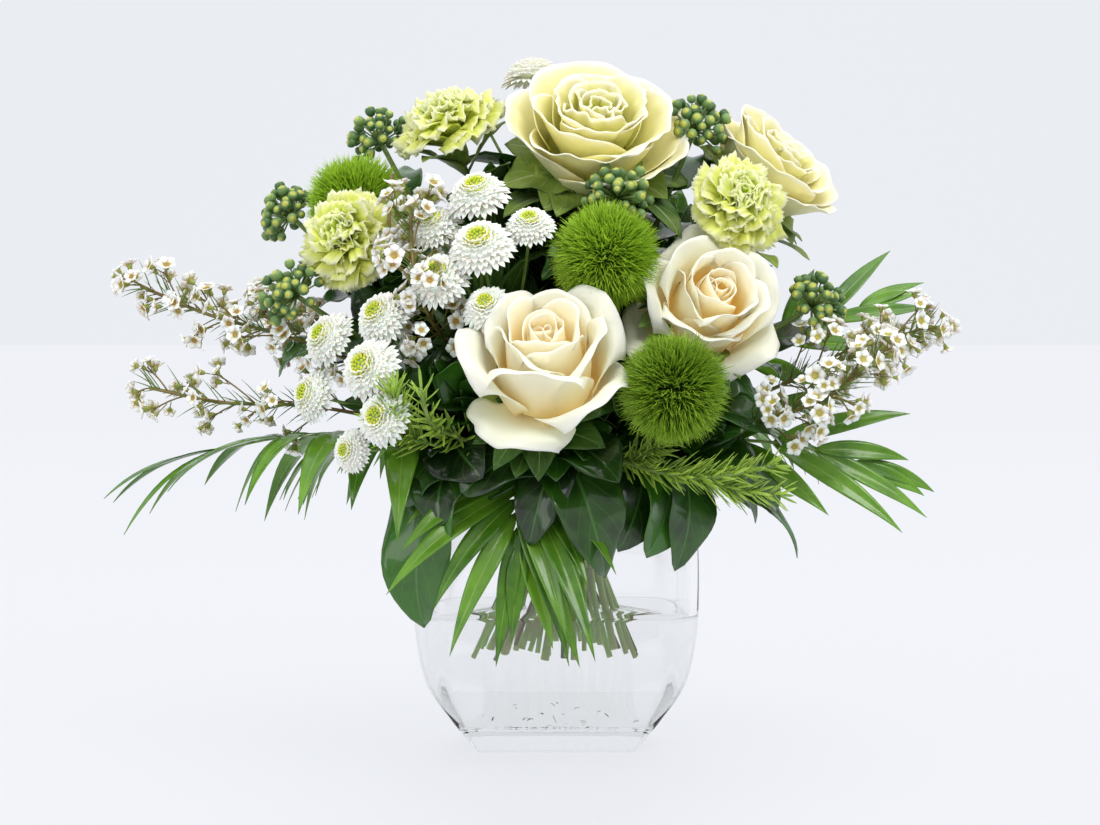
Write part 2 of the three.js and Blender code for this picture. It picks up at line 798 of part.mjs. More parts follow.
// The stems: every flower, spray and sprig stands on one. Each has its end, the way it arrives there, the
// points that it bends over on the way, its radius and its colour.
const headStem = (depth, radius, colour) => (bloom) => ({
  name: bloom.name,
  end: under(bloom, depth),
  arrive: bloom.facing,
  radius,
  colour,
});
const branchStem = (line, over, radius, colour) => ({
  ...line,
  end: line.path.at(-1),
  over,
  radius,
  colour,
});
const onward = (from, to, length) => to.clone().add(to.clone().sub(from).setLength(length));
const stems = [
  ...roses.map(headStem(0.83, 2.4, STEM)),
  ...cabbages.map(headStem(0.53, 2.5, STEM)),
  ...carnations.map(headStem(0.63, 1.8, STEM)),
  ...balls.map(headStem(0.4, 1.8, LIME)),
  ...buttons.map(({ name, fork }) => ({
    name,
    end: fork,
    arrive: outward(fork),
    radius: 2,
    colour: WHITE,
  })),
  ...ivies.map(({ name, cluster, over }) => ({
    name,
    end: cluster ?? onward(...over, 14),
    arrive: cluster ? outward(cluster) : null,
    over,
    radius: 1.7,
    colour: IVY,
  })),
  ...waxes.map((wax) => branchStem(wax, wax.path.slice(0, -1), 1.1, NEEDLES)),
  ...rosemaries.map((sprig) => branchStem(sprig, sprig.path.slice(0, -1), 1.3, NEEDLES)),
  ...palms.map(({ name, rib, over = [] }) => ({
    name,
    end: rib[0].clone().add(rib[1].clone().sub(rib[0]).setLength(6)),
    over: [...over, rib[0]],
    radius: 1.6,
    colour: PALM,
  })),
];

// Gives each stem its place in the bundle: upright ones in the middle and spreading ones outside, in order.
function shareOutSlots() {
  const start = vec(0, 0, KNEE_Z);
  const bend = (stem) => (stem.over ? stem.over[0] : stem.end).clone().sub(start);
  const steep = (stem) => bend(stem).normalize().z;
  const bearing = (stem) => Math.atan2(bend(stem).y, bend(stem).x);
  const sorted = [...stems].sort((a, b) => steep(b) - steep(a));
  const sizes = [...RING_SLOTS, stems.length - RING_SLOTS.reduce((sum, n) => sum + n)];
  const twist = Math.atan((KNEE_Z - WAIST_Z) * LEAN.y);
  sizes.forEach((size, ring) => {
    const members = sorted.splice(0, size).sort((a, b) => bearing(a) - bearing(b));
    const offset = members.reduce((sum, stem, i) => {
      const lag = bearing(stem) - (i / size) * 2 * Math.PI;
      return sum + Math.atan2(Math.sin(lag), Math.cos(lag)) / size;
    }, 0);
    members.forEach((stem, i) => {
      const angle = (i / size) * 2 * Math.PI + offset - twist;
      stem.slot = vec(ring * RING_PITCH * Math.cos(angle), ring * RING_PITCH * Math.sin(angle), 0);
    });
  });
}
shareOutSlots();

function bundlePoint(slot, z) {
  const rise = z - WAIST_Z;
  return vec(slot.x - rise * LEAN.x * slot.y, slot.y + rise * LEAN.y * slot.x, z);
}

function stemPath(stem, cutZ) {
  const knee = bundlePoint(stem.slot, KNEE_Z);
  const path = [bundlePoint(stem.slot, cutZ), bundlePoint(stem.slot, WAIST_Z), knee, ...(stem.over ?? [])];
  if (stem.arrive) {
    const rise = stem.end.distanceTo(path.at(-1));
    path.push(stem.end.clone().addScaledVector(stem.arrive, -Math.min(0.3 * rise, 30)));
  }
  path.push(stem.end);
  return path;
}

// A direction leaning off `way` by `lean`, at a turn round it.
function spread(way, turn, lean) {
  const [side, rise] = acrossOf(way);
  const off = side.multiplyScalar(Math.cos(turn)).addScaledVector(rise, Math.sin(turn));
  return way.clone().normalize().addScaledVector(off, lean).normalize();
}

// ---------------------------------------------------------------- growing the nodes clear of each other

const bouquet = new THREE.Group();
const grown = new Map(); // node name to its solid and colour
const taken = []; // what the pieces fill, with the gap round them

function claim(owner, solid) {
  const { min, max } = solid.boundingBox();
  taken.push({ owner, solid, box: new THREE.Box3(vec(...min), vec(...max)) });
}

function inTheWay(owner, solid) {
  const { min, max } = solid.boundingBox();
  const box = new THREE.Box3(vec(...min), vec(...max));
  const others = taken.filter((other) => other.owner !== owner && other.box.intersectsBox(box));
  return others.filter((other) => other.solid.intersect(solid).volume() > 1e-3);
}

// Adds a piece to a node. Small repeats that would meet another node are left out; the rest are cut clear.
function attach(owner, make, { optional = false, hull = false } = {}) {
  let solid = make(0);
  const others = inTheWay(owner, solid);
  if (others.length && optional) return false;
  for (const other of others) {
    solid = solid.subtract(other.solid);
  }
  const node = grown.get(owner);
  if (node) node.parts.push(solid);
  claim(owner, hull ? hullOf(solid, GAP) : make(GAP));
  return true;
}

function open(name, colour, roughness = 0.6) {
  grown.set(name, { parts: [], colour, roughness });
}

function stemName(stem) {
  const petalled = [...roses, ...cabbages, ...carnations].some(({ name }) => name === stem.name);
  return petalled ? `${stem.name}_stem` : stem.name;
}

// Vase and twine first, then every stem, then blooms, then foliage.
const vase = vaseSolid();
grown.set("vase", { parts: [vase], colour: CLEAR_GLASS, roughness: 0.05 });
claim("vase", vase);

const bundleRadius = 3 * RING_PITCH + 3.1;
const twine = twineSolid(bundleRadius);
grown.set("twine", { parts: [twine], colour: STRAW, roughness: 0.9 });
claim("twine", twine);

let water = waterSolid();
for (const [index, stem] of stems.entries()) {
  const cutZ = CUT_Z + (index % 4) * CUT_STAGGER;
  const sides = stem.radius > 1.7 ? 4 : 3;
  const steps = stem.over ? 7 : 5;
  const path = stemPath(stem, cutZ);
  const hole = stemPath(stem, cutZ - 0.8);
  open(stemName(stem), stem.colour);
  attach(stemName(stem), (grow) => stalk(path, stem.radius, { sides, steps, grow: 2 * grow }));
  water = water.subtract(stalk(hole, stem.radius, { sides, steps, grow: 2 * GAP }));
}
grown.set("water", { parts: [water], colour: CLEAR_WATER, roughness: 0.02 });

// Blooms.
const bloomKinds = [
  [roses, ROSE_FORM, ROSE],
  [cabbages, CABBAGE_FORM, CABBAGE],
  [carnations, CARNATION_FORM, CARNATION],
];
for (const [blooms, form, colour] of bloomKinds) {
  for (const bloom of blooms) {
    open(`${bloom.name}_petals`, colour, 0.5);
    attach(`${bloom.name}_petals`, () => whorls(bloom, form), { hull: true });
  }
}
for (const ball of balls) {
  attach(ball.name, () => spikyBall(ball.at, ball.radius), { hull: true });
}
for (const spray of buttons) {
  const stem = stems.find(({ name }) => name === spray.name);
  const branching = new THREE.CatmullRomCurve3(stemPath(stem, CUT_Z));
  spray.heads.forEach(([x, y, z, radius], i) => {
    const at = vec(x, y, z);
    const facing = outward(at);
    attach(spray.name, () => whorls({ at, facing, radius, spin: i }, BUTTON_FORM), { hull: true });
    const root = branching.getPointAt(1 - 0.035 * i - 0.01);
    const foot = at.clone().addScaledVector(facing, -0.4 * radius);
    const bend = along(root, foot, 0.6).addScaledVector(facing, -6);
    attach(spray.name, (grow) => stalk([root, bend, foot], 1.1, { sides: 3, steps: 2, grow }));
  });
}

// Ivy: a dome of berries on short stalks at the end of the stem, and leaves further down it.
for (const ivy of ivies.filter(({ cluster }) => cluster)) {
  const place = placer(ivy.cluster, outward(ivy.cluster));
  const middle = ivy.cluster.toArray();
  attach(ivy.name, (grow) => solidOf(new THREE.OctahedronGeometry(BERRIES.core + grow).translate(...middle)));
  for (let i = 0; i < BERRIES.count; i++) {
    const height = 1 - (1.1 * (i + 0.3)) / BERRIES.count;
    const flat = Math.sqrt(1 - height * height);
    const turn = i * GOLDEN_ANGLE;
    const way = place(vec(flat * Math.cos(turn), flat * Math.sin(turn), height)).sub(ivy.cluster);
    const root = ivy.cluster.clone().addScaledVector(way, 0.4 * BERRIES.core);
    attach(ivy.name, (grow) => berry(root, way, BERRIES.reach, BERRIES.radius, grow), { optional: true });
  }
}

function nearestOnStem(stem, point) {
  const curve = new THREE.CatmullRomCurve3(stemPath(stem, CUT_Z));
  const nearer = (best, p) => (p.distanceTo(point) < best.distanceTo(point) ? p : best);
  return curve.getSpacedPoints(80).reduce(nearer);
}

for (const ivy of ivies) {
  const stem = stems.find(({ name }) => name === ivy.name);
  for (const [base, tip, width] of ivy.leaves) {
    const [from, to] = [nearestOnStem(stem, vec(...base)), vec(...tip)];
    const face = outward(along(from, to, 0.5)).add(vec(0, 0, 0.4));
    attach(ivy.name, (grow) => leaf(from, to, face, width, { grow }));
  }
}

for (const palm of palms) {
  attach(palm.name, (grow) => frond({ ...palm, grow }));
}

// The roses' sepals and the cabbages' outer green leaves.
for (const bloom of roses) {
  attach(`${bloom.name}_stem`, () => whorls(bloom, SEPAL_FORM), { hull: true });
}
for (const bloom of cabbages) {
  attach(`${bloom.name}_stem`, () => whorls(bloom, OUTER_LEAF_FORM), { hull: true });
}

// Leaves left on the flower stems above the twine, turned outwards.
const leafyStems = stems.filter(({ over, name }) => !over && !ivies.some((ivy) => ivy.name === name));
for (const stem of leafyStems) {
  const roll = dice(Math.round(stem.slot.x * 100 + stem.slot.y));
  const curve = new THREE.CatmullRomCurve3(stemPath(stem, CUT_Z));
  const bare = (WAIST_Z + 40 - CUT_Z) / (stem.end.z - CUT_Z);
  for (let i = 0; i < STEM_LEAVES.count; i++) {
    const from = curve.getPointAt(bare + (0.8 - bare) * ((i + 0.5) / STEM_LEAVES.count));
    const bearing = Math.atan2(from.y, from.x) + (i % 2 ? 1 : -1) * (0.3 + 0.6 * roll());
    const length = STEM_LEAVES.length * (0.8 + 0.4 * roll());
    const fall = 6 - 18 * roll();
    const to = from.clone().add(vec(length * Math.cos(bearing), length * Math.sin(bearing), fall));
    const face = vec(Math.cos(bearing), Math.sin(bearing), 1.6);
    const make = (grow) => leaf(from, to, face, STEM_LEAVES.width, { grow });
    attach(stemName(stem), make, { optional: true });
  }
}

// Waxflower: side twigs along the outer part, each ending in three flowers, with needle leaves between.
for (const wax of waxes) {
  const roll = dice(wax.seed);
  const curve = new THREE.CatmullRomCurve3(wax.path);
  for (let i = 0; i < WAX.twigs; i++) {
    const t = 0.4 + (0.56 * i) / (WAX.twigs - 1);
    const from = curve.getPointAt(t);
    const way = spread(curve.getTangentAt(t), i * GOLDEN_ANGLE + roll(), 0.9);
    const end = from.clone().addScaledVector(way, 18 + 8 * roll());
    const twig = (grow) => stalk([from, end], 0.7, { sides: 3, steps: 1, grow });
    const grew = attach(wax.name, twig, { optional: true });
    for (let k = 0; grew && k < WAX.flowers; k++) {
      const facing = spread(way, (k / WAX.flowers) * 2 * Math.PI + roll(), 1.3);
      const at = end.clone().addScaledVector(way, -2.5 * k).addScaledVector(facing, WAX.reach);
      const form = { ...WAX_FORM, foot: -(WAX.reach + 0.4) / WAX.radius };
      const flower = { at, facing, radius: WAX.radius, spin: k };
      attach(wax.name, () => whorls(flower, form), { optional: true, hull: true });
    }
  }
  for (let i = 0; i < WAX.needles; i++) {
    const t = 0.3 + (0.6 * i) / (WAX.needles - 1);
    const way = spread(curve.getTangentAt(t), i * GOLDEN_ANGLE + 1, 1.2);
    attach(wax.name, (grow) => needle(curve.getPointAt(t), way, 14, 0.8, grow), { optional: true });
  }
}

// Rosemary: needles all round the outer part of the sprig.
for (const sprig of rosemaries) {
  const roll = dice(sprig.seed);
  const curve = new THREE.CatmullRomCurve3(sprig.path);
  for (let i = 0; i < ROSEMARY_NEEDLES; i++) {
    const t = 0.18 + (0.8 * i) / (ROSEMARY_NEEDLES - 1);
    const way = spread(curve.getTangentAt(t), i * GOLDEN_ANGLE, 1.4);
    const length = 13 + 5 * roll();
    attach(sprig.name, (grow) => needle(curve.getPointAt(t), way, length, 1, grow), { optional: true });
  }
}

// ---------------------------------------------------------------- the finished group

for (const [name, { parts, colour, roughness }] of grown) {
  const mesh = largestPiece(joined(parts)).getMesh();
  const geometry = new THREE.BufferGeometry();
  geometry.setAttribute("position", new THREE.BufferAttribute(mesh.vertProperties, 3));
  geometry.setIndex(new THREE.BufferAttribute(mesh.triVerts, 1));
  geometry.computeVertexNormals();
  const material = new THREE.MeshStandardMaterial({ color: colour, roughness, metalness: 0 });
  const node = new THREE.Mesh(geometry, material);
  node.name = name;
  bouquet.add(node);
}

export default bouquet;
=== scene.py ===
# %% [markdown]
# # A hand-tied bouquet in a glass pillow vase
#
# This notebook dresses a packed CAD model of a table centerpiece. The CAD gives every stem, head and frond
# its place. Here each of them becomes what the florist used: thin petals, glossy leaves, fine needles and
# clear glass. Sizes are worked out in millimetres and turned into metres when a mesh is made.

import bpy
import numpy as np
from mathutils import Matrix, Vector


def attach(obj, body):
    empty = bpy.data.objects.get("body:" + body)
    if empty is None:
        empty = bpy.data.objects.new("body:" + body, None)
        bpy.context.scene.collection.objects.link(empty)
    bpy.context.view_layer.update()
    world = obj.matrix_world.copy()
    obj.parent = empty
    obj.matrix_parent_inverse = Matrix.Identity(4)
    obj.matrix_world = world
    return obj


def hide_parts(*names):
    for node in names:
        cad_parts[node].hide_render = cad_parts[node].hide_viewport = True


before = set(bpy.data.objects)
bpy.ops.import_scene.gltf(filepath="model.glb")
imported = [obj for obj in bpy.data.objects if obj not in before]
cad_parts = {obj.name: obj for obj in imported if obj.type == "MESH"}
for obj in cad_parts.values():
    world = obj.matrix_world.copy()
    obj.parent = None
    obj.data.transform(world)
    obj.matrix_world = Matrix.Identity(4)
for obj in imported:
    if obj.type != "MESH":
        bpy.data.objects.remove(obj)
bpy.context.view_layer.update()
MM = 0.001
GOLDEN_ANGLE = np.pi * (3 - np.sqrt(5))
print(len(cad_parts), "CAD nodes")

# %% [markdown]
# ## Directions
#
# Petals, leaves and needles all start somewhere and head off some way. Each way is a vector of length one,
# and many of them are one array with a row for each. A shape drawn round the upright axis is set on its
# stem by the rotation that tips +Z over to the stem's own way.


# %% Vectors and frames
def vec(*numbers):
    """The numbers as one vector."""
    return np.array(numbers, dtype=float)


def route(*points):
    """The points as a list of vectors."""
    return [vec(*point) for point in points]


UP = vec(0, 0, 1)


def unit(a):
    """Vectors divided by their length."""
    return a / np.maximum(np.linalg.norm(a, axis=-1, keepdims=True), 1e-9)


def turned(facing, spin=0.0):
    """Rotations that spin about +Z and then tip +Z over to each facing by the shortest way.

    With the facing (x, y, z), the tip takes +X to (1 - xx/(1+z), -xy/(1+z), -x), +Y to
    (-xy/(1+z), 1 - yy/(1+z), -y) and +Z to (x, y, z).
    """
    x, y, z = np.moveaxis(unit(np.atleast_2d(facing)), -1, 0)
    spin = np.broadcast_to(spin, x.shape)
    share = 1 / (1 + z + 1e-6)
    rows = [[1 - x * x * share, -x * y * share, x], [-x * y * share, 1 - y * y * share, y], [-x, -y, z]]
    tip = np.moveaxis(np.array(rows), -1, 0)
    zero, one = np.zeros_like(x), np.ones_like(x)
    rows = [[np.cos(spin), -np.sin(spin), zero], [np.sin(spin), np.cos(spin), zero], [zero, zero, one]]
    return tip @ np.moveaxis(np.array(rows), -1, 0)


def smoothstep(low, high, x):
    """0 below low and 1 above high; in between 3tt - 2ttt, with t the share of the way."""
    t = np.clip((x - low) / (high - low), 0, 1)
    return t * t * (3 - 2 * t)


def mix(a, b, share):
    """The value at a share of the way from a to b."""
    return a + (b - a) * share


def even_turns(count):
    """Angles that share a full turn evenly."""
    return np.arange(count) / count * 2 * np.pi


def level_ways(angle):
    """Level directions at these angles: their cosine, their sine and 0."""
    return np.stack([np.cos(angle), np.sin(angle), np.zeros(len(angle))], -1)


def dome_directions(count, lowest=-1.0):
    """Directions spread evenly over a dome, from straight up down to the height given.

    Heights go down in equal steps and each turns on by the golden angle, so none lines up with the last.
    """
    height = 1 - (np.arange(count) + 0.5) / count * (1 - lowest)
    flat = np.sqrt(1 - height**2)
    angle = np.arange(count) * GOLDEN_ANGLE
    return np.stack([flat * np.cos(angle), flat * np.sin(angle), height], -1)


print("golden angle", round(float(np.degrees(GOLDEN_ANGLE)), 1), "degrees")

# %% [markdown]
# ## Curves
#
# A stem is a smooth curve through a few points. Blender could draw it as a curve object, but the CAD works
# its stems out by this same rule, so the formula is written out and both agree to a hair. A leaf's rib is
# simpler: a bow from root to tip that is pulled towards a third point.


# %% Curves
def even_steps(path, count):
    """The same polyline with count points at equal steps along it."""
    walked = np.concatenate([[0], np.cumsum(np.linalg.norm(np.diff(path, axis=0), axis=1))])
    return np.stack([np.interp(np.linspace(0, walked[-1], count), walked, axis) for axis in path.T], -1)


def smooth_path(points, count):
    """A curve through the points, as count points at equal steps along it.

    The knots lie apart by the square root of the points' distances, which keeps the curve from looping.
    Between two points it is a blend of blends: three straight lines through neighbours, mixed in pairs
    twice over.
    """
    p = np.asarray(points, dtype=float)
    p = np.vstack([2 * p[0] - p[1], p, 2 * p[-1] - p[-2]])
    knots = np.concatenate([[0], np.cumsum(np.sqrt(np.linalg.norm(np.diff(p, axis=0), axis=1)))])
    t = np.linspace(knots[1], knots[-2] - 1e-6, 40 * len(points))
    i = np.clip(np.searchsorted(knots, t, side="right") - 1, 1, len(points) - 1)
    k = [knots[i + n][:, None] for n in (-1, 0, 1, 2)]
    q = [p[i + n] for n in (-1, 0, 1, 2)]
    t = t[:, None]

    def blend(a, b, low, high):
        """A straight line in t that is a at low and b at high."""
        return ((high - t) * a + (t - low) * b) / (high - low)

    first, second, third = (blend(q[n], q[n + 1], k[n], k[n + 1]) for n in range(3))
    outer = blend(first, second, k[0], k[2]), blend(second, third, k[1], k[3])
    return even_steps(blend(*outer, k[1], k[2]), count)


def arcs(start, pull, end, count):
    """Bows from start to end that lean towards pull, (copies, count, 3).

    With t from 0 to 1 each is (1-t)(1-t) start + 2t(1-t) pull + tt end.
    """
    t = np.linspace(0, 1, count)[:, None]
    start, pull, end = (np.atleast_2d(p)[:, None, :] for p in (start, pull, end))
    return (1 - t) ** 2 * start + 2 * t * (1 - t) * pull + t**2 * end


def directions_along(paths):
    """The way each path runs at each of its points."""
    return unit(np.gradient(paths, axis=-2))


print("a bow from 0 to 2 pulled to 4 has its middle at", arcs(vec(0), vec(4), vec(2), 3)[0, 1, 0])

# %% [markdown]
# ## Shapes as grids of points
#
# A petal, a leaf or a needle is a grid of points. Many alike are one array with the copies along its first
# axis, so numpy works all of them out at once. There are three kinds: a tube goes round a line, a turned
# shape goes round the upright axis, and a blade lies along a rib.


# %% Tubes, turned shapes and blades
def closed(grid):
    """A wrapped grid with each end drawn together to the middle of its ring, so that nothing is open."""
    ends = [grid[:, [row]] for row in (0, -1)]
    first, last = (np.broadcast_to(end.mean(2, keepdims=True), end.shape) for end in ends)
    return np.concatenate([first, grid, last], axis=1)


def tubes(paths, radius, sides=6):
    """Round sections carried along paths (copies, count, 3): grids that wrap round.

    Each ring is radius (side cos a + up sin a), where side and up are square to the path.
    """
    paths = paths.reshape((-1,) + paths.shape[-2:])
    along = directions_along(paths)
    chord = unit(paths[:, -1] - paths[:, 0])
    helper = np.where(np.abs(chord[:, 2:]) < 0.8, UP, vec(1, 0, 0))
    across = unit(np.cross(chord, helper))[:, None, :]
    side = unit(np.cross(along, across))
    up = np.cross(along, side)
    angle = even_turns(sides)
    ring = side[:, :, None, :] * np.cos(angle)[:, None] + up[:, :, None, :] * np.sin(angle)[:, None]
    radius = np.broadcast_to(radius, paths.shape[:2])
    return paths[:, :, None, :] + ring * radius[:, :, None, None]


def lathe(profile, sides=10):
    """A profile of (radius, height) turned about +Z: one grid that wraps round."""
    radius, height = np.asarray(profile, dtype=float).T
    angle = even_turns(sides)
    height = np.broadcast_to(height[:, None], (len(height), sides))
    return np.stack([radius[:, None] * np.cos(angle), radius[:, None] * np.sin(angle), height], -1)[None]


def blades(paths, face, half, across=7, fold=0.15, wave=0.0, waves=3.0, phase=0.0, twist=0.0):
    """Leaves along paths, as grids (copies, along, across, 3).

    A point lies half v to the side of the rib, with v from -1 to 1 across, and half (fold |v| + wave
    ripple) above it, where ripple = vv sin(2 pi waves u + phase) grows towards the margin and u runs from
    foot to tip. The blade turns about its rib by twist (u - 0.3), in radians.
    """
    along = directions_along(paths)
    flat = unit(np.cross(along, np.atleast_2d(face)[:, None, :]))
    u = np.linspace(0, 1, paths.shape[1])[:, None]
    turn = np.broadcast_to(twist, (len(paths),))[:, None, None] * (u - 0.3)
    side = flat * np.cos(turn) + np.cross(flat, along) * np.sin(turn)
    normal = np.cross(side, along)
    v = np.linspace(-1, 1, across)
    half = np.broadcast_to(half, paths.shape[:2])[:, :, None]
    phase = np.broadcast_to(phase, (len(paths),))[:, None, None]
    ripple = np.sin(waves * 2 * np.pi * u + phase + np.sign(v)) * np.abs(v) ** 2
    rise = half * (fold * np.abs(v) + wave * ripple)
    sideways = side[:, :, None, :] * (half * v)[..., None]
    return paths[:, :, None, :] + sideways + normal[:, :, None, :] * rise[..., None]


print("one blade:", blades(arcs(vec(0, 0, 0), vec(5, 0, 0), vec(10, 0, 0), 12), UP, 2).shape)

# %% [markdown]
# ## Surfaces as arrays
#
# A surface gathers such grids and joins their points with faces. Each point also carries a mark: how far it
# lies along the surface, how far across, and a tone for its copy. The finishes colour the surface by these
# marks.


# %% Grids that become meshes
class Surface:
    """Collects grids of points with their faces and marks until they are made one mesh."""

    def __init__(self):
        self.points, self.faces, self.marks, self.total = [], [], [], 0

    def add(self, points, faces, marks):
        """Adds points with their marks, and faces that count them from 0."""
        points = points.reshape(-1, 3)
        self.points.append(points)
        self.faces.append(faces + self.total)
        self.marks.append(marks.reshape(-1, 3))
        self.total += len(points)
        return self

    def grids(self, points, tone=0.0, wrap=False):
        """Adds grids (copies, along, across, 3). A wrapped one is joined round from its last column to its
        first. A first or last row drawn together to one point shares that point, so that it is closed."""
        points = points.reshape((-1,) + points.shape[-3:])
        copies, along, across, _ = points.shape
        index = np.arange(copies * along * across).reshape(copies, along, across)
        for row in (0, -1):
            if np.ptp(points[:, row], axis=1).max() < 1e-6:
                index[:, row] = index[:, row, :1]
        after = np.roll(index, -1, axis=2)
        faces = np.stack([index[:, :-1], after[:, :-1], after[:, 1:], index[:, 1:]], -1)
        faces = faces if wrap else faces[:, :, :-1]
        marks = np.empty(points.shape)
        marks[..., 0] = np.linspace(0, 1, along)[:, None]
        marks[..., 1] = np.linspace(-1, 1, across)
        marks[..., 2] = np.broadcast_to(tone, (copies,))[:, None, None]
        return self.add(points, faces.reshape(-1, 4), marks)

    def copies(self, pattern, at, turn, size, tone=0.0):
        """Adds a copy of another surface at every place, turned and scaled."""
        points, faces, marks = pattern.arrays()
        size = np.broadcast_to(size, (len(at),))[:, None, None]
        placed = at[:, None, :] + size * np.einsum("nij,mj->nmi", turn, points)
        faces = np.arange(len(at))[:, None, None] * len(points) + faces
        marks = np.broadcast_to(marks, placed.shape).copy()
        marks[..., 2] += np.broadcast_to(tone, (len(at),))[:, None]
        return self.add(placed, faces.reshape(-1, 4), marks)

    def rods(self, paths, radius, sides=8, tone=0.0):
        """Adds tubes with closed ends along paths; the radius may change along them."""
        return self.grids(closed(tubes(paths, radius, sides)), tone, wrap=True)

    def arrays(self):
        """All points, all faces and all marks."""
        return np.concatenate(self.points), np.concatenate(self.faces), np.concatenate(self.marks)


print("surface tools:", *(name for name in vars(Surface) if name[0] != "_"))

# %% [markdown]
# ## Colours and shader maths
#
# The maths of a shader is written as Python: a Value wraps a socket, and using it in an expression adds the
# Math nodes. That reads like the formula itself and leaves an ordinary node tree behind, which can be
# looked at in Blender's shader editor.


# %% Shader maths
def paint(code):
    """A colour written as six hex digits, turned into the linear light that shaders work with."""
    s = np.array([int(code[i : i + 2], 16) for i in (0, 2, 4)]) / 255
    return tuple(float(x) for x in np.where(s < 0.04045, s / 12.92, ((s + 0.055) / 1.055) ** 2.4))


class Value:
    """A shader socket that adds Math nodes when it is used in an expression."""

    def __init__(self, tree, socket):
        self.tree, self.socket = tree, socket

    def math(self, operation, *others, clamp=False):
        """A Math node of this operation on the value and the others."""
        node = self.tree.nodes.new("ShaderNodeMath")
        node.operation, node.use_clamp = operation, clamp
        for slot, value in zip(node.inputs, (self, *others)):
            if isinstance(value, Value):
                self.tree.links.new(value.socket, slot)
            else:
                slot.default_value = value
        return Value(self.tree, node.outputs[0])

    def __add__(self, other):
        return self.math("ADD", other)

    def __mul__(self, other):
        return self.math("MULTIPLY", other)

    def __sub__(self, other):
        return self.math("SUBTRACT", other)

    def __rsub__(self, other):
        return (self * -1.0) + other

    def __abs__(self):
        return self.math("ABSOLUTE")

    __radd__, __rmul__ = __add__, __mul__

    def sine(self):
        """The sine of an angle in radians."""
        return self.math("SINE")

    def fraction(self):
        """What is left above the whole number below."""
        return self.math("FRACT")

    def between(self, low, high):
        """0 at low, 1 at high, straight in between and held beyond; low may be the larger one."""
        return self.math("SUBTRACT", low).math("DIVIDE", high - low, clamp=True)


print("mid grey in linear light:", round(paint("808080")[0], 3))

# %% [markdown]
# ## Finishes
#
# A finish is a Principled shader whose colour follows the marks. Its helpers add the nodes that read a mark,
# a place or some noise, and each hands back a Value for the maths above.


# %% Finishes
class Finish:
    """A material with one Principled shader, and the nodes that feed it."""

    def __init__(self, name, **settings):
        self.material = bpy.data.materials.new(name)
        self.material.use_nodes = True
        self.tree = self.material.node_tree
        self.shader = self.tree.nodes["Principled BSDF"]
        self.marks = None
        for socket, value in settings.items():
            self.set(socket.replace("_", " ").title().replace("Ior", "IOR"), value)

    def fill(self, slot, value):
        """Links a value to a socket, or sets the socket to a number, a vector or a colour."""
        if isinstance(value, Value):
            self.tree.links.new(value.socket, slot)
        elif isinstance(value, tuple) and slot.type == "RGBA":
            slot.default_value = (*value, 1)
        else:
            slot.default_value = value

    def set(self, socket, value):
        """One input of the shader."""
        self.fill(self.shader.inputs[socket], value)

    def node(self, kind, settings=(), inputs=(), output=0):
        """Any node: its settings first, then the values or links of its sockets."""
        node = self.tree.nodes.new("ShaderNode" + kind)
        for key, value in dict(settings).items():
            setattr(node, key, value)
        for key, value in dict(inputs).items():
            self.fill(node.inputs[key], value)
        return Value(self.tree, node.outputs[output])

    def mark(self, index):
        """A surface mark: 0 along, 1 across, 2 the copy's own tone."""
        if self.marks is None:
            vector = self.node("Attribute", {"attribute_name": "mark"}, output="Vector")
            self.marks = self.tree.nodes.new("ShaderNodeSeparateXYZ")
            self.tree.links.new(vector.socket, self.marks.inputs[0])
        return Value(self.tree, self.marks.outputs[index])

    def place(self):
        """Where the point lies on the whole part, in metres."""
        return self.node("TexCoord", output="Object")

    def noise(self, scale, detail=3.0):
        """Noise that goes round its middle about as many times per metre as the scale says."""
        inputs = {"Scale": scale, "Detail": detail, "Vector": self.place()}
        return self.node("TexNoise", inputs=inputs, output="Fac")

    def mix(self, share, a, b):
        """Colour a where share is 0 and colour b where it is 1."""
        return self.node("Mix", {"data_type": "RGBA"}, {0: share, 6: a, 7: b}, output=2)

    def bump(self, height, strength, distance=0.4):
        """Bends the normal as if the surface rose by distance, in millimetres, where height is 1."""
        inputs = {"Height": height, "Strength": strength, "Distance": distance * MM}
        self.set("Normal", self.node("Bump", inputs=inputs))


print("finish tools:", *(name for name in vars(Finish) if name[0] != "_"))

# %% [markdown]
# ## Pieces
#
# A mesh is filled straight from the arrays, which is far quicker than adding its faces one by one. Petals
# and leaves are drawn without thickness, and a Solidify modifier gives them two sides. Every piece stays on
# the part's one body, and hides the CAD nodes it stands for.


# %% Make a piece of the part
def mesh_from(name, surface):
    """A mesh of the surface; a face whose corners share a point keeps the other corners only."""
    points, faces, marks = surface.arrays()
    used, faces = np.unique(faces, return_inverse=True)
    faces = faces.reshape(-1, 4)
    apart = faces != np.roll(faces, -1, axis=1)
    starts = np.concatenate([[0], np.cumsum(apart.sum(axis=1))[:-1]])
    mesh = bpy.data.meshes.new(name)
    mesh.vertices.add(len(used))
    mesh.vertices.foreach_set("co", (points[used] * MM).ravel())
    mesh.loops.add(int(apart.sum()))
    mesh.loops.foreach_set("vertex_index", faces[apart].astype(np.int32))
    mesh.polygons.add(len(faces))
    mesh.polygons.foreach_set("loop_start", starts.astype(np.int32))
    mesh.update(calc_edges=True)
    mesh.attributes.new("mark", "FLOAT_VECTOR", "POINT").data.foreach_set("vector", marks[used].ravel())
    mesh.shade_smooth()
    return mesh


def object_from(name, surface, finish):
    """An object of the surface with its finish, linked to the scene at the origin."""
    mesh = mesh_from(name, surface)
    mesh.materials.append(finish.material)
    made = bpy.data.objects.new(name, mesh)
    bpy.context.scene.collection.objects.link(made)
    return made


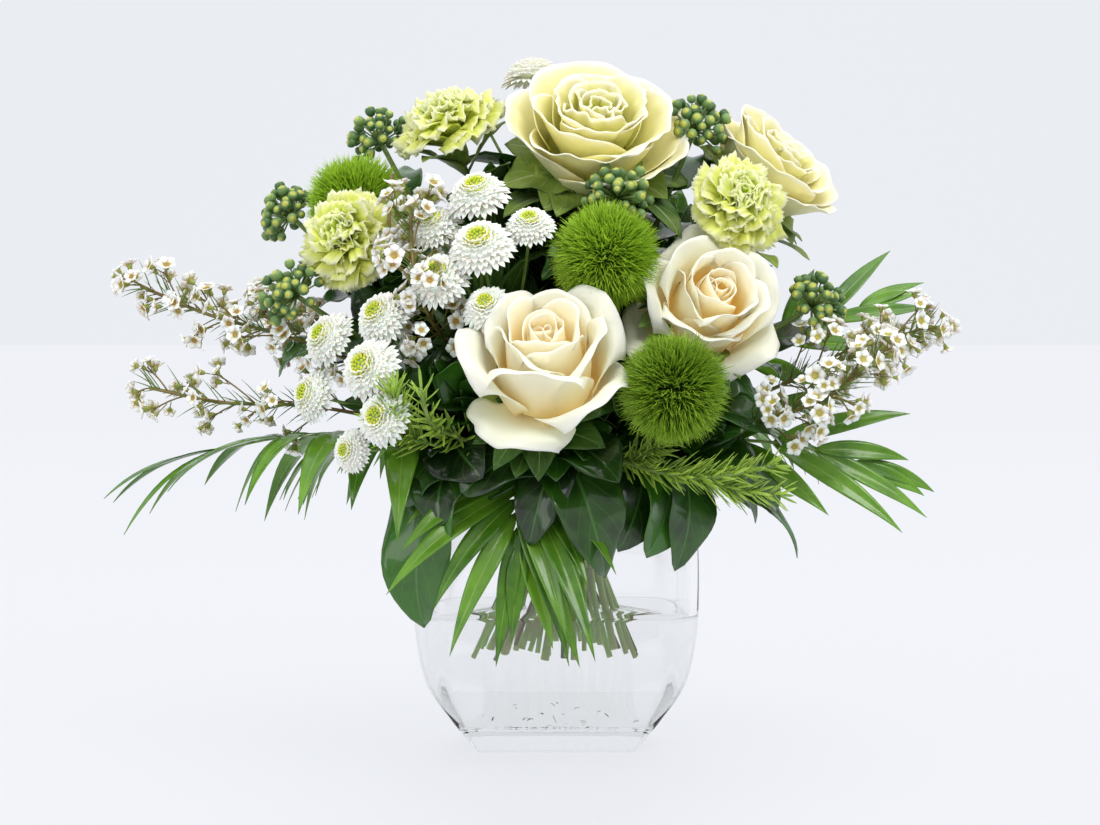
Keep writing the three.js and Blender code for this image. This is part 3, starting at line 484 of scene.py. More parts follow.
def piece(name, surface, finish, nodes=(), thickness=None):
    """One mesh object in the CAD's frame: it rides on the body and stands for the nodes given."""
    made = object_from(name, surface, finish)
    if thickness:
        wall = made.modifiers.new("thickness", "SOLIDIFY")
        wall.thickness = thickness * MM
        wall.offset = 0
    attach(made, "root")
    if nodes:
        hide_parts(*nodes)
    print(name, len(made.data.vertices), "points")


print(len(bpy.data.meshes), "meshes came with the frame")

# %% [markdown]
# ## The arrangement
#
# The heads and sprays stand where the CAD has them. A bouquet in the round is a dome, so most of them face
# away from a point low in its middle. The tables below keep each one's place in millimetres, from the
# middle of the vase's foot: x to the right, y to the back and z up.

# %% Roses, cabbages, carnations and balls
DOME_CENTRE = vec(0, 0, 165)


def outward(p):
    """The way from the dome's centre through a point."""
    return unit(np.asarray(p, dtype=float) - DOME_CENTRE)


# A head stands with its middle at a place and faces a way. Where its petals face another, `look` says so,
# `lift` raises them, and `dark` is painted shade: how much darker a ball's green is painted because the heads
# round it shade it.
ROSES = {
    "rose_front": dict(
        at=vec(-6, -148, 231),
        facing=unit(vec(0.05, -0.8, 0.55)),
        look=vec(-0.05, -0.68, 0.73),
        radius=43,
        lift=8,
    ),
    "rose_right": dict(
        at=vec(86, -112, 266), facing=unit(vec(0.35, -0.85, 0.4)), radius=39, look=vec(0.24, -0.85, 0.46)
    ),
    "rose_back": dict(at=vec(-14, 138, 252), facing=unit(vec(-0.1, 0.85, 0.5)), radius=41),
}
CABBAGES = {
    "cabbage_top": dict(
        at=vec(22, -52, 368),
        facing=unit(vec(0.05, -0.62, 0.78)),
        look=vec(0.1, -0.64, 0.76),
        radius=52,
        lift=-9,
    ),
    "cabbage_right": dict(at=vec(124, -22, 342), facing=unit(vec(0.6, -0.35, 0.72)), radius=42),
}
CARNATIONS = {
    "carnation_left": dict(at=vec(-117, -84, 300), facing=unit(vec(-0.4, -0.8, 0.4)), radius=28),
    "carnation_right": dict(at=vec(101, -86, 320), facing=unit(vec(0.35, -0.75, 0.5)), radius=27),
    "carnation_top": dict(at=vec(-62, -40, 366), facing=unit(vec(-0.35, -0.25, 0.9)), radius=30),
    "carnation_back": dict(at=vec(88, 104, 292), facing=unit(vec(0.5, 0.7, 0.5)), radius=29),
}
BALLS = {
    "dianthus_middle": dict(at=vec(27, -116, 289), facing=unit(vec(0.1, -0.8, 0.55)), radius=28),
    "dianthus_low": dict(at=vec(62, -154, 218), facing=unit(vec(0.3, -0.9, 0.2)), radius=28, dark=1.0),
    "dianthus_left": dict(at=vec(-115, -50, 328), facing=unit(vec(-0.5, -0.35, 0.75)), radius=28, lift=-8),
    "dianthus_back": dict(at=vec(30, 104, 330), facing=unit(vec(0.15, 0.6, 0.75)), radius=28),
}
print(sum(map(len, (ROSES, CABBAGES, CARNATIONS, BALLS))), "single heads")

# %% [markdown]
# ## Chrysanthemum sprays
#
# A spray is one stem that forks, with a button head on each branch. In the photograph they hang down the
# left side of the bouquet like a string of buttons, so each head has a place of its own.

# %% Chrysanthemum heads
# Where each stem forks, and its heads as x, y, z and radius.
BUTTONS = {
    "chrysanthemum_upper": (
        vec(-44, -88, 262),
        [
            (-44, -114, 326, 15),
            (-68, -110, 308, 13),
            (-42, -132, 297, 16),
            (-15, -122, 308, 12),
            (-65, -130, 279, 15),
            (-38, -138, 263, 12),
        ],
    ),
    "chrysanthemum_lower": (
        vec(-82, -88, 205),
        [
            (-128, -110, 246, 14),
            (-97, -126, 258, 14),
            (-103, -139, 230, 15.5),
            (-137, -108, 214, 13),
            (-95, -148, 203, 13.5),
            (-113, -132, 184, 10.5),
        ],
    ),
    "chrysanthemum_top": (vec(-6, 10, 352), [(-14, 2, 404, 16), (18, 14, 402, 16), (-46, 14, 383, 15)]),
    "chrysanthemum_back": (
        vec(-72, 70, 240),
        [(-78, 108, 300, 17), (-108, 84, 272, 16), (-84, 126, 262, 16), (-116, 92, 234, 15)],
    ),
}
print(sum(len(heads) for _, heads in BUTTONS.values()), "button heads")

# %% [markdown]
# ## Ivy stems
#
# Half of the ivy is cut with its berries, and stands up between the heads. The rest is leafy: it bends over
# the vase's rim and makes the dark collar that hides the tie.

# %% Ivy berries and leaves
# The berry cluster's middle or the points a stem bends over, and its leaves as root, tip and width.
IVIES = {
    "ivy_left": dict(
        cluster=vec(-146, -80, 268),
        leaves=[((-120, -62, 236), (-158, -66, 222), 24), ((-105, -55, 222), (-128, -92, 228), 22)],
    ),
    "ivy_upper_left": dict(
        cluster=vec(-156, -22, 316),
        leaves=[((-120, -12, 280), (-150, 18, 288), 26), ((-100, -8, 262), (-140, -14, 262), 24)],
    ),
    "ivy_top_left": dict(
        cluster=vec(-104, -8, 360),
        leaves=[((-84, 4, 330), (-104, 34, 340), 26), ((-70, 6, 310), (-104, 22, 306), 26)],
    ),
    "ivy_middle": dict(cluster=vec(34, -92, 322), leaves=[((14, -78, 290), (-8, -104, 276), 26)]),
    "ivy_top_right": dict(
        cluster=vec(80, -40, 364),
        leaves=[((66, -22, 332), (84, 10, 350), 26), ((62, -10, 300), (84, 24, 306), 26)],
    ),
    "ivy_right": dict(
        cluster=vec(144, -74, 262),
        leaves=[((118, -50, 240), (156, -40, 236), 26), ((104, -40, 222), (126, -76, 222), 22)],
    ),
    "ivy_back": dict(
        cluster=vec(-46, 128, 314),
        leaves=[((-36, 96, 268), (-62, 124, 250), 26), ((-22, 70, 240), (20, 108, 236), 28)],
    ),
    "ivy_collar_left": dict(
        over=route((-36, -50, 182), (-50, -72, 184)),
        tones=(0.3, 0.8, 0.0, -0.2),
        leaves=[
            ((-54, -84, 172), (-84, -96, 150), 34),
            ((-50, -82, 160), (-74, -92, 82), 42),
            ((-46, -80, 180), (-64, -112, 140), 34),
            ((-44, -92, 186), (-40, -122, 168), 34),
        ],
    ),
    "ivy_collar_front": dict(
        over=route((2, -52, 182), (2, -78, 186)),
        leaves=[
            ((-6, -96, 184), (-15, -112, 130), 28),
            ((10, -94, 180), (27, -108, 112), 36),
            ((-16, -90, 186), (-52, -116, 158), 34),
            ((8, -92, 188), (34, -124, 166), 30),
        ],
    ),
    "ivy_collar_right": dict(
        over=route((40, -50, 182), (58, -70, 182)),
        tones=(0.7, 0.2, 0.5, 0.0, 0.6, 0.4, 0.2, 0.6),
        leaves=[
            ((54, -84, 176), (50, -98, 122), 36),
            ((68, -82, 170), (66, -92, 114), 28),
            ((80, -76, 178), (120, -92, 146), 32),
            ((36, -70, 182), (34, -104, 126), 34),
            ((70, -78, 182), (104, -98, 158), 30),
            ((72, -76, 180), (112, -84, 140), 24),
            ((82, -82, 174), (122, -104, 148), 34),
            ((90, -84, 166), (134, -98, 122), 12),
        ],
    ),
    "ivy_low_left": dict(
        over=route((-30, -44, 184), (-42, -80, 200)),
        leaves=[
            ((-42, -84, 200), (-52, -128, 232), 30),
            ((-38, -72, 194), (-16, -116, 196), 28),
            ((-42, -84, 202), (-86, -112, 216), 26),
        ],
    ),
    "ivy_low_right": dict(
        over=route((28, -44, 186), (52, -76, 204)),
        leaves=[
            ((54, -80, 206), (92, -120, 214), 30),
            ((40, -62, 196), (92, -84, 204), 28),
            ((54, -82, 206), (40, -122, 236), 28),
            ((54, -80, 206), (118, -80, 196), 30),
            ((52, -76, 202), (112, -66, 216), 30),
            ((54, -80, 206), (126, -90, 184), 28),
        ],
    ),
    "ivy_back_left": dict(
        over=route((-34, 44, 184), (-52, 72, 204)),
        leaves=[
            ((-54, 76, 206), (-92, 108, 206), 34),
            ((-44, 60, 196), (-32, 112, 206), 34),
            ((-54, 76, 206), (-60, 116, 176), 34),
        ],
    ),
    "ivy_back_right": dict(
        over=route((36, 44, 184), (56, 68, 206)),
        leaves=[
            ((58, 72, 208), (96, 96, 226), 34),
            ((46, 56, 196), (52, 112, 200), 34),
            ((58, 72, 208), (108, 72, 196), 34),
        ],
    ),
    "ivy_collar_back": dict(
        over=route((14, 54, 182), (20, 74, 184)),
        leaves=[
            ((18, 60, 184), (-26, 104, 138), 36),
            ((26, 90, 178), (34, 114, 118), 36),
            ((24, 72, 184), (84, 88, 160), 34),
        ],
    ),
}
print(sum(len(ivy["leaves"]) for ivy in IVIES.values()), "ivy leaves")

# %% [markdown]
# ## Sprays and sprigs
#
# Waxflower and rosemary grow along a line. Four points are enough to give the line its bow, and the twigs
# and needles follow from it later.

# %% Lines of the waxflowers and the rosemary
WAXFLOWERS = {
    "waxflower_left_upper": route((-96, -48, 222), (-150, -62, 244), (-200, -58, 258), (-238, -58, 274)),
    "waxflower_left_lower": route((-90, -58, 196), (-140, -76, 206), (-190, -74, 208), (-232, -66, 216)),
    "waxflower_middle": route((-60, -70, 240), (-82, -92, 276), (-92, -96, 300), (-92, -84, 336)),
    "waxflower_right_upper": route((108, -56, 208), (150, -84, 228), (184, -82, 240), (210, -74, 252)),
    "waxflower_right_lower": route((90, -62, 192), (124, -104, 202), (150, -122, 214), (176, -116, 236)),
    "waxflower_back": route((-60, 56, 210), (-110, 66, 222), (-150, 72, 240), (-184, 66, 262)),
}
ROSEMARIES = {
    "rosemary_right": route((22, -76, 182), (48, -112, 173), (82, -130, 169), (118, -134, 176)),
    "rosemary_left": route((-40, -90, 184), (-58, -118, 192), (-68, -142, 200), (-72, -156, 218)),
}
print(len(WAXFLOWERS), "waxflower sprays and", len(ROSEMARIES), "rosemary sprigs")

# %% [markdown]
# ## Palm fronds' ribs
#
# Parlour palm is laid in last, as a fringe below the heads. A frond is flat, so it is given by its rib, the
# side it shows and how its leaflets reach, droop and sweep forward.

# %% Palm fronds
# `over` is a point the stem bends over before its rib starts. `reach` is the leaflets' length, `droop` the
# share of it that they hang down, `wide` half their width and `sweep` the angle they make with the rib; two
# values are those at the rib's foot and at its tip.
PALMS = {
    "palm_left": dict(
        rib=route((-80, -66, 186), (-120, -80, 190), (-158, -84, 188), (-186, -82, 182)),
        reach=(54, 72),
        droop=(1.0, 0.3),
        pairs=7,
        wide=(10.5, 5),
        sweep=(72, 5),
    ),
    "palm_front": dict(
        over=route((-8, -46, 178)),
        rib=route((-12, -66, 176), (-18, -86, 164), (-22, -98, 148), (-20, -102, 132)),
        reach=84,
        droop=0.3,
        up=vec(0.1, -0.75, 0.65),
        pairs=8,
        wide=(7.5, 6),
    ),
    "palm_right_lower": dict(
        rib=route((72, -58, 184), (110, -70, 186), (142, -74, 182), (168, -72, 174)),
        reach=78,
        droop=0.12,
        up=vec(0, -0.92, 0.4),
        pairs=5,
        wide=(7.5, 5),
        sweep=(46, 4),
    ),
    "palm_right_upper": dict(
        rib=route((110, -6, 228), (140, 0, 244), (164, 4, 256), (182, 6, 262)),
        reach=70,
        droop=0.02,
        up=vec(-0.3, -0.8, 0.5),
        pairs=4,
        wide=(7, 5),
        sweep=(60, 4),
    ),
    "palm_back_left": dict(
        rib=route((-56, 58, 184), (-92, 82, 188), (-122, 98, 184), (-144, 108, 174)),
        reach=60,
        droop=0.6,
    ),
    "palm_back_right": dict(
        rib=route((66, 58, 186), (102, 78, 190), (132, 92, 186), (156, 100, 176)),
        reach=60,
        droop=0.5,
    ),
}
print(len(PALMS), "fronds")

# %% [markdown]
# ## Paths of the stems
#
# Every stem runs from its cut end in the water through the tie, where all lean round the bundle the same
# way, and then bends to its own head. A florist gets this spiral by laying each stem across the others. The
# CAD's rule is worked out again here, so that round stems can take the place of its faceted ones.

# %% The stems' paths
# Heights of the tie, of the bend above it and of the shortest cut.
WAIST, KNEE, CUT = 148, 172, 56
# A stem is shifted sideways by this share of its height over the tie times its distance from the middle.
LEAN_X, LEAN_Y = 0.03, 0.021
# Stems lie in rings, this far apart, with so many on the inner ones.
RING_PITCH = 5.6
RING_SLOTS = [1, 6, 12]
# How deep a stem ends in its head, as a share of the head's radius.
DEPTHS = ((ROSES, 0.83), (CABBAGES, 0.53), (CARNATIONS, 0.63), (BALLS, 0.4))
COLLAR_END, FROND_FOOT = 14, 6
PATH_POINTS = 48


def stem_table():
    """Each stem's end, the way it arrives there and the points it bends over, in the CAD's order."""
    stems = {}
    for blooms, depth in DEPTHS:
        for name, b in blooms.items():
            stems[name] = (b["at"] - depth * b["radius"] * b["facing"], b["facing"], [])
    for name, (fork, _) in BUTTONS.items():
        stems[name] = (fork, outward(fork), [])
    for name, ivy in IVIES.items():
        if "cluster" in ivy:
            stems[name] = (ivy["cluster"], outward(ivy["cluster"]), [])
        else:
            first, last = ivy["over"]
            stems[name] = (last + COLLAR_END * unit(last - first), None, ivy["over"])
    for name, path in {**WAXFLOWERS, **ROSEMARIES}.items():
        stems[name] = (path[-1], None, path[:-1])
    for name, palm in PALMS.items():
        rib = palm["rib"]
        stems[name] = (rib[0] + FROND_FOOT * unit(rib[1] - rib[0]), None, [*palm.get("over", []), rib[0]])
    return stems


def share_out_slots(stems):
    """Upright stems take the middle of the bundle, and each ring goes round in order of bearing.

    A ring of n stems has them at angles i / n of a full turn, plus the mean of how far their bearings lie
    ahead of that.
    """
    bend = {n: (over[0] if over else end) - KNEE * UP for n, (end, _, over) in stems.items()}
    bearing = {n: np.arctan2(b[1], b[0]) for n, b in bend.items()}
    names = sorted(stems, key=lambda n: -unit(bend[n])[2])
    twist = np.arctan((KNEE - WAIST) * LEAN_Y)
    sizes = RING_SLOTS + [len(stems) - sum(RING_SLOTS)]
    slots = {}
    for ring, size in enumerate(sizes):
        members, names = sorted(names[:size], key=bearing.get), names[size:]
        steps = even_turns(size)
        lag = np.array([bearing[n] for n in members]) - steps
        angle = steps + np.mean(np.arctan2(np.sin(lag), np.cos(lag))) - twist
        for name, a in zip(members, angle):
            slots[name] = ring * RING_PITCH * vec(np.cos(a), np.sin(a))
    return slots


def bundle_point(slot, z):
    """Where the stem of a slot is at a height: its place at the tie, turned and spread by the lean."""
    rise = z - WAIST
    return vec(slot[0] - rise * LEAN_X * slot[1], slot[1] + rise * LEAN_Y * slot[0], z)


def stem_corners(stem, slot, cut):
    """The points that one stem's curve passes through. It comes in to its head the way the head faces, for
    three tenths of the distance and 30 mm at most."""
    end, arrive, over = stem
    corners = [bundle_point(slot, cut), bundle_point(slot, WAIST), bundle_point(slot, KNEE), *over]
    if arrive is not None:
        corners.append(end - arrive * min(0.3 * np.linalg.norm(end - corners[-1]), 30))
    return [*corners, end]


def all_corners():
    """The corners of every stem; they are cut at four lengths in turn, 3 mm apart."""
    stems = stem_table()
    slots = share_out_slots(stems)
    return {n: stem_corners(stem, slots[n], CUT + 3 * (i % 4)) for i, (n, stem) in enumerate(stems.items())}


def nearest_on_stem(name, point):
    """The point of a stem's curve that lies closest to another point."""
    path = smooth_path(corners[name], 300)
    return path[np.argmin(np.linalg.norm(path - point, axis=1))]


corners = all_corners()
stem_paths = {n: smooth_path(points, PATH_POINTS) for n, points in corners.items()}
print(len(stem_paths), "stems")

# %% [markdown]
# ## Petals set round an axis
#
# Roses, ornamental cabbages and carnations are all built alike: petals follow each other round an axis by
# the golden angle, and from the heart outwards they get longer, wider and flatter. They could be sculpted
# one by one, but one function makes them all from a table of what changes between the first petal and the
# last, which also keeps the petals from lining up in a way that no flower has.


# %% The rosette
# By what share each value differs from petal to petal. The chances are drawn in this order.
PETAL_SPREAD = dict(
    point=0.0,
    round=0.0,
    length=0.07,
    foot=0.0,
    stand=0.04,
    lie=0.06,
    curl=0.3,
    root=0.0,
    rise=0.0,
    half=0.07,
    cup=0.1,
    wave=0.3,
    tilt=0.6,
    reflex=0.5,
)


def petal_values(shape, tone, dice):
    """A shape's rows spread over the petals and varied by chance, each as (petals, 1, 1)."""
    values = {}
    for key, spread in PETAL_SPREAD.items():
        row = np.interp(tone, np.linspace(0, 1, len(shape[key])), shape[key])
        values[key] = (row * (1 + spread * dice.uniform(-1, 1, len(tone))))[:, None, None]
    return values


def petal_midlines(shape, p, u, v, turns):
    """Radius, height and elevation along each petal, and the angle it stands at before its rim curls.

    The midline leaves the axis at the elevation `foot`, bends to `stand` and ends at `lie`, less `curl`
    near its rim. Summing the cosine and sine of that angle over steps of the length gives radius and
    height. The outline takes `point` |v|^1.4 and `round` |v|^4 off the length towards the sides.
    """
    teeth = shape.get("teeth", 0) * np.sin(np.arange(v.size) * np.pi / 2 * 1.9)
    length = p["length"] * (1 - p["point"] * np.abs(v) ** 1.4 - p["round"] * np.abs(v) ** 4 + teeth)
    bowl = mix(p["foot"], p["stand"], smoothstep(0, 0.4, u))
    open_angle = mix(bowl, p["lie"], smoothstep(0.4, 1, u))
    fall = p["curl"] * smoothstep(shape["curl_from"], 1, u) * (1 + 0.4 * v * np.sin(turns[2]))
    elevation = np.radians(open_angle - fall)
    step = length * np.diff(u, axis=1, prepend=0)
    radius = p["root"] + np.cumsum(np.cos(elevation) * step, axis=1)
    height = p["rise"] + np.cumsum(np.sin(elevation) * step, axis=1)
    return radius, height, elevation, open_angle


def petal_sections(shape, p, u, v, turns, radius, open_angle):
    """How far each point lies sideways of its petal's midline, and in from it.

    Across, a petal is an arc: its radius is that of a cone through the midline times `cup`. Its sides go
    back by `reflex` |v|^3 uu, its rim waves by `wave` uuu, and `tilt` turns it about its midline so that
    neighbours overlap.
    """
    full = mix(shape["waist"], 1, smoothstep(-0.1, 0.6, u)) - shape["nip"] * smoothstep(0.7, 1, u)
    reach = v * p["half"] * full
    cup = p["cup"] * (np.abs(radius) + 2) / np.maximum(np.sin(np.radians(open_angle)), 0.35)
    arc = np.clip(reach / cup, -2.6, 2.6)
    waves = shape["waves"] * v * np.pi
    ripple = np.sin(waves + turns[0]) + 0.6 * np.sin(2.3 * waves + turns[1])
    ripple = ripple * p["wave"] * u**3 + p["tilt"] * reach * u
    inward = cup * (1 - np.cos(arc)) - p["reflex"] * np.abs(v) ** 3 * u**2 + ripple
    return cup * np.sin(arc), inward


def rosette(count, shape, along, across, seed):
    """Petals round +Z from the heart outwards, as grids (petals, along, across, 3), and their tones.

    Each row of the shape holds values for evenly spaced petals from the first to the last. Petal k stands
    at k golden angles, give or take `scatter`.
    """
    dice = np.random.default_rng(seed)
    tone = (np.arange(count) + 0.5) / count
    u = np.linspace(0, 1, along)[None, :, None] ** 0.85
    v = np.linspace(-1, 1, across)[None, None, :]
    turns = dice.uniform(0, 2 * np.pi, (3, count, 1, 1))
    p = petal_values(shape, tone, dice)
    azimuth = np.arange(count) * GOLDEN_ANGLE + shape["scatter"] * dice.uniform(-1, 1, count)
    azimuth = azimuth[:, None, None]
    radius, height, elevation, open_angle = petal_midlines(shape, p, u, v, turns)
    sideways, inward = petal_sections(shape, p, u, v, turns, radius, open_angle)
    radius = radius - inward * np.sin(elevation)
    height = height + inward * np.cos(elevation)
    x = radius * np.cos(azimuth) - sideways * np.sin(azimuth)
    y = radius * np.sin(azimuth) + sideways * np.cos(azimuth)
    return np.stack([x, y, height], -1), tone


print(len(PETAL_SPREAD), "values for each petal")

# %% [markdown]
# ## Shapes of the blooms
#
# Angles are in degrees over the level and lengths in millimetres. A rose's first petals stand upright and
# lean in, and its last ones open wide and roll back. A cabbage is an even bowl of broad leaves with wavy
# rims. A carnation has narrow, toothed petals that stand at every angle.

# %% Tables of the three rosettes
ROSE = dict(
    length=(42, 48, 54, 58, 57, 44),
    half=(12, 18, 24, 29, 32, 30),
    point=(0.0, 0.05, 0.1, 0.17, 0.24, 0.28),
    round=(0.25, 0.22, 0.18, 0.16, 0.14, 0.14),
    root=(1, 2.5, 5, 8, 12, 14),
    rise=(-26, -27, -29, -31, -32, -32),
    foot=(50, 32, 14, 2, -5, -5),
    stand=(96, 93, 91, 89, 84, 30),
    lie=(113, 102, 95, 90, 78, 10),
    curl=(0, 8, 18, 34, 50, 50),
    cup=(1, 1.05, 1.1, 1.15, 1.2, 1.3),
    reflex=(0.3, 1.5, 4, 7, 11, 15),
    wave=(0.2, 0.6, 1.0, 1.4, 1.8, 2.4),
    tilt=(0.2, 0.16, 0.12, 0.1, 0.07, 0.05),
    curl_from=0.74,
    waist=0.45,
    nip=0.15,
    waves=1.2,
    scatter=0.2,
)
CABBAGE = dict(
    length=(20, 33, 47, 58, 62),
    half=(12, 21, 32, 42, 44),
    point=(0.02, 0.02, 0.03, 0.04, 0.05),
    round=(0.3, 0.3, 0.3, 0.3, 0.3),
    root=(0.5, 1.5, 3, 5, 6),
    rise=(2, -6, -15, -24, -32),
    foot=(40, 30, 20, 10, 5),
    stand=(86, 77, 67, 56, 45),
    lie=(92, 84, 74, 63, 50),
    curl=(10, 14, 18, 22, 26),
    cup=(1.1, 1.1, 1.15, 1.2, 1.4),
    reflex=(1, 1, 2, 2, 3),
    wave=(1.8, 1.7, 1.2, 0.9, 0.8),
    tilt=(0.15, 0.12, 0.1, 0.08, 0.05),
    curl_from=0.75,
    waist=0.5,
    nip=0.1,
    waves=2.3,
    scatter=0.35,
)
CARNATION = dict(
    length=(22, 25, 28, 30, 31),
    half=(10, 12, 14, 15, 15),
    point=(0.0, 0.0, 0.0, 0.0, 0.0),
    round=(0.22, 0.22, 0.22, 0.22, 0.22),
    root=(0.5, 1, 1.5, 2, 2.5),
    rise=(-8, -8, -9, -10, -11),
    foot=(90, 85, 75, 60, 45),
    stand=(88, 78, 60, 38, 18),
    lie=(80, 64, 42, 16, -8),
    curl=(10, 20, 30, 30, 30),
    cup=(1.6, 1.8, 2.0, 2.2, 2.4),
    reflex=(1, 1, 1, 1, 1),
    wave=(2.2, 2.5, 2.6, 2.4, 2.0),
    tilt=(0.5, 0.5, 0.4, 0.3, 0.2),
    curl_from=0.6,
    waist=0.25,
    nip=0.0,
    waves=2.5,
    scatter=0.5,
    teeth=0.035,
)
print("rosettes:", *(len(shape) for shape in (ROSE, CABBAGE, CARNATION)))

# %% [markdown]
# ## The vase
#
# A pillow vase is blown into a mould: a rounded rectangle in plan whose corners get softer on the way up,
# over a heavy flat foot. Levels of the CAD's plan are joined by a smooth curve, and the inside follows
# 5 mm in. The water overlaps the glass by a hair, so light goes from one to the other without any air.

# %% Plans of the vase
# The plan at each height: z, half width, half depth and corner radius.
VASE_LEVELS = [
    (0, 46.5, 31, 3),
    (1.5, 48, 32, 3.5),
    (20, 62, 41, 6),
    (40, 75, 49, 11),
    (66, 82, 54, 18),
    (95, 84, 56, 24),
    (134, 83, 55, 28),
    (158, 79, 52.5, 28),
    (168, 76.5, 51, 27),
]
WALL, FLOOR, FLOOR_ROUNDING, WATER_LEVEL = 5, 14, 5, 82
RIM_TOP, RIM_ROUNDING, RIM_RISE = 166.5, 2.4, 1.5
OVERLAP = 0.15
CORNER_STEPS, SIDE_STEPS = 9, 8


def plan(z, half_width, half_depth, corner):
    """A rounded rectangle at height z, anticlockwise from above: one quarter circle, set in each corner by
    turning its signs and its order round, and straight sides between them."""
    corner = min(corner, half_width, half_depth)
    angle = np.linspace(0, np.pi / 2, CORNER_STEPS)
    arc = corner * level_ways(angle)[:, :2] + vec(half_width - corner, half_depth - corner)
    corners = np.concatenate([arc, arc[::-1] * (-1, 1), arc * -1, arc[::-1] * (1, -1)])
    following = np.roll(corners, -1, axis=0)
    sides = [np.linspace(a, b, SIDE_STEPS, endpoint=False) for a, b in zip(corners, following)]
    last_of_arc = np.arange(len(corners)) % CORNER_STEPS == CORNER_STEPS - 1
    ring = np.concatenate([side if last else side[:1] for side, last in zip(sides, last_of_arc)])
    return np.column_stack([ring, np.full(len(ring), z)])


def levels_between(low, high, count, inset=0.0):
    """The plans of the wall from one height to another, drawn in by an inset."""
    smooth = smooth_path(VASE_LEVELS[1:], 120)
    z = np.linspace(low, high, count)
    width, depth, corner = (np.interp(z, smooth[:, 0], smooth[:, i]) for i in (1, 2, 3))
    corner = np.maximum(corner - 0.6 * inset, 2)
    return [plan(*level) for level in zip(z, width - inset, depth - inset, corner)]


def rounded_end(level, drawn_in, rise, steps=5):
    """Rings that carry on from a plan in a quarter round: at the angle a they are drawn in towards the
    middle by drawn_in (1 - cos a) and lie rise sin a higher."""
    angle = np.linspace(0, np.pi / 2, steps)[1:]
    half = level[:, :2].max(axis=0)
    inner = [level * [*((half - drawn_in * (1 - np.cos(a))) / half), 1] for a in angle]
    return [ring + rise * np.sin(a) * UP for ring, a in zip(inner, angle)]


def shell(rings):
    """A closed surface through rings, from the first to the last."""
    return Surface().grids(closed(np.stack(rings)[None]), wrap=True)


print(len(plan(*VASE_LEVELS[0])), "points round each plan")

# %% [markdown]
# ## Glass and water
#
# Clear glass is a Principled shader with full transmission and the index 1.5, and water is the same with
# 1.33. Both are a shade off white, because a thick foot takes a little light away. The glass is drawn as
# one skin: up the outside, over the rim and down to the floor inside.


# %% Vase and water
def vase_surface():
    """The skin of the glass, from the middle of the foot up the outside and down the inside."""
    edge = plan(*VASE_LEVELS[0])
    outside = levels_between(VASE_LEVELS[1][0], RIM_TOP, 56)
    rim_out = rounded_end(outside[-1], RIM_ROUNDING, RIM_RISE)
    inside = levels_between(FLOOR + FLOOR_ROUNDING, RIM_TOP, 50, WALL)
    rim_in = rounded_end(inside[-1], -RIM_ROUNDING, RIM_RISE)[::-1]
    floor = rounded_end(inside[0], FLOOR_ROUNDING, -FLOOR_ROUNDING, 7)
    return shell([edge * (0.6, 0.6, 1), edge, *outside, *rim_out, *rim_in, *inside[::-1], *floor])


def water_surface():
    """The water, from the middle of the floor out and up to its level."""
    inside = levels_between(FLOOR + FLOOR_ROUNDING, WATER_LEVEL, 26, WALL - OVERLAP)
    floor = rounded_end(inside[0], FLOOR_ROUNDING, -FLOOR_ROUNDING - OVERLAP, 7)[::-1]
    return shell([*floor, *inside])


def clear(name, colour, ior):
    """A clear, smooth finish: full transmission with an index of refraction."""
    return Finish(name, base_color=colour, roughness=0.0, transmission_weight=1.0, ior=ior)


piece("vase_glass", vase_surface(), clear("glass", (0.975, 0.977, 0.977), 1.5), ["vase"])
piece("water_filling", water_surface(), clear("water", (0.965, 0.966, 0.964), 1.33), ["water"])

# %% [markdown]
# ## Stems
#
# Stems are green tubes, thicker for the heavy heads, and get thinner towards the head. Below the tie they
# are stripped of their leaves and painted paler: painted light for the light that the glass and the water let
# through to them, over patches of tan and light green that are the stems' own. Their finish reads the height
# over the table, which is the third of the Object coordinates, and blends in these paler colours.

# %% Stem finish and rods
STEM_RADII = (
    (ROSES, 2.4),
    (CABBAGES, 2.5),
    (CARNATIONS, 1.8),
    (BALLS, 1.8),
    (BUTTONS, 2.0),
    (IVIES, 1.7),
    (WAXFLOWERS, 1.1),
    (ROSEMARIES, 1.3),
    (PALMS, 1.6),
)
STEM_RADIUS = {name: radius for group, radius in STEM_RADII for name in group}


def leafy_colour(finish, dark, light):
    """Light where noise, the distance from the rib and the copy's tone add up to much, dark elsewhere."""
    share = finish.noise(90.0) * 0.9 + abs(finish.mark(1)) * 0.25 + finish.mark(2) * 0.5
    return finish.mix(share.between(0.3, 1.1), paint(dark), paint(light))


def leafy_green(name, dark, light, gloss):
    """A finish for twigs and needles."""
    finish = Finish(name, roughness=gloss)
    finish.set("Base Color", leafy_colour(finish, dark, light))
    return finish


def stem_finish():
    """Green above 0.16 m, and below 0.11 m paler colours in patches: painted light for the light that the
    glass lets through, over the stems' own tan and green.
    """
    finish = Finish("stem_green", roughness=0.4)
    height = finish.node("SeparateXYZ", inputs={0: finish.place()}, output=2)
    patches = finish.noise(35.0, 1.0).between(0.35, 0.6)
    # The paler colours low down are painted light, for the light that reaches the stems through the glass.
    cut = finish.mix(patches, paint("bcb478"), paint("a9da66"))
    green = leafy_colour(finish, "56772f", "a3b86a")
    finish.set("Base Color", finish.mix(height.between(0.16, 0.11), green, cut))
    return finish


def stem_rod(name):
    """A stem as a closed rod that loses a quarter of its thickness on the way up."""
    radius = STEM_RADIUS[name] * np.linspace(1, 0.75, PATH_POINTS)
    return Surface().rods(stem_paths[name][None], radius[None])


stem_look = stem_finish()
print(len(STEM_RADIUS), "stems of radius", min(STEM_RADIUS.values()), "to", max(STEM_RADIUS.values()))

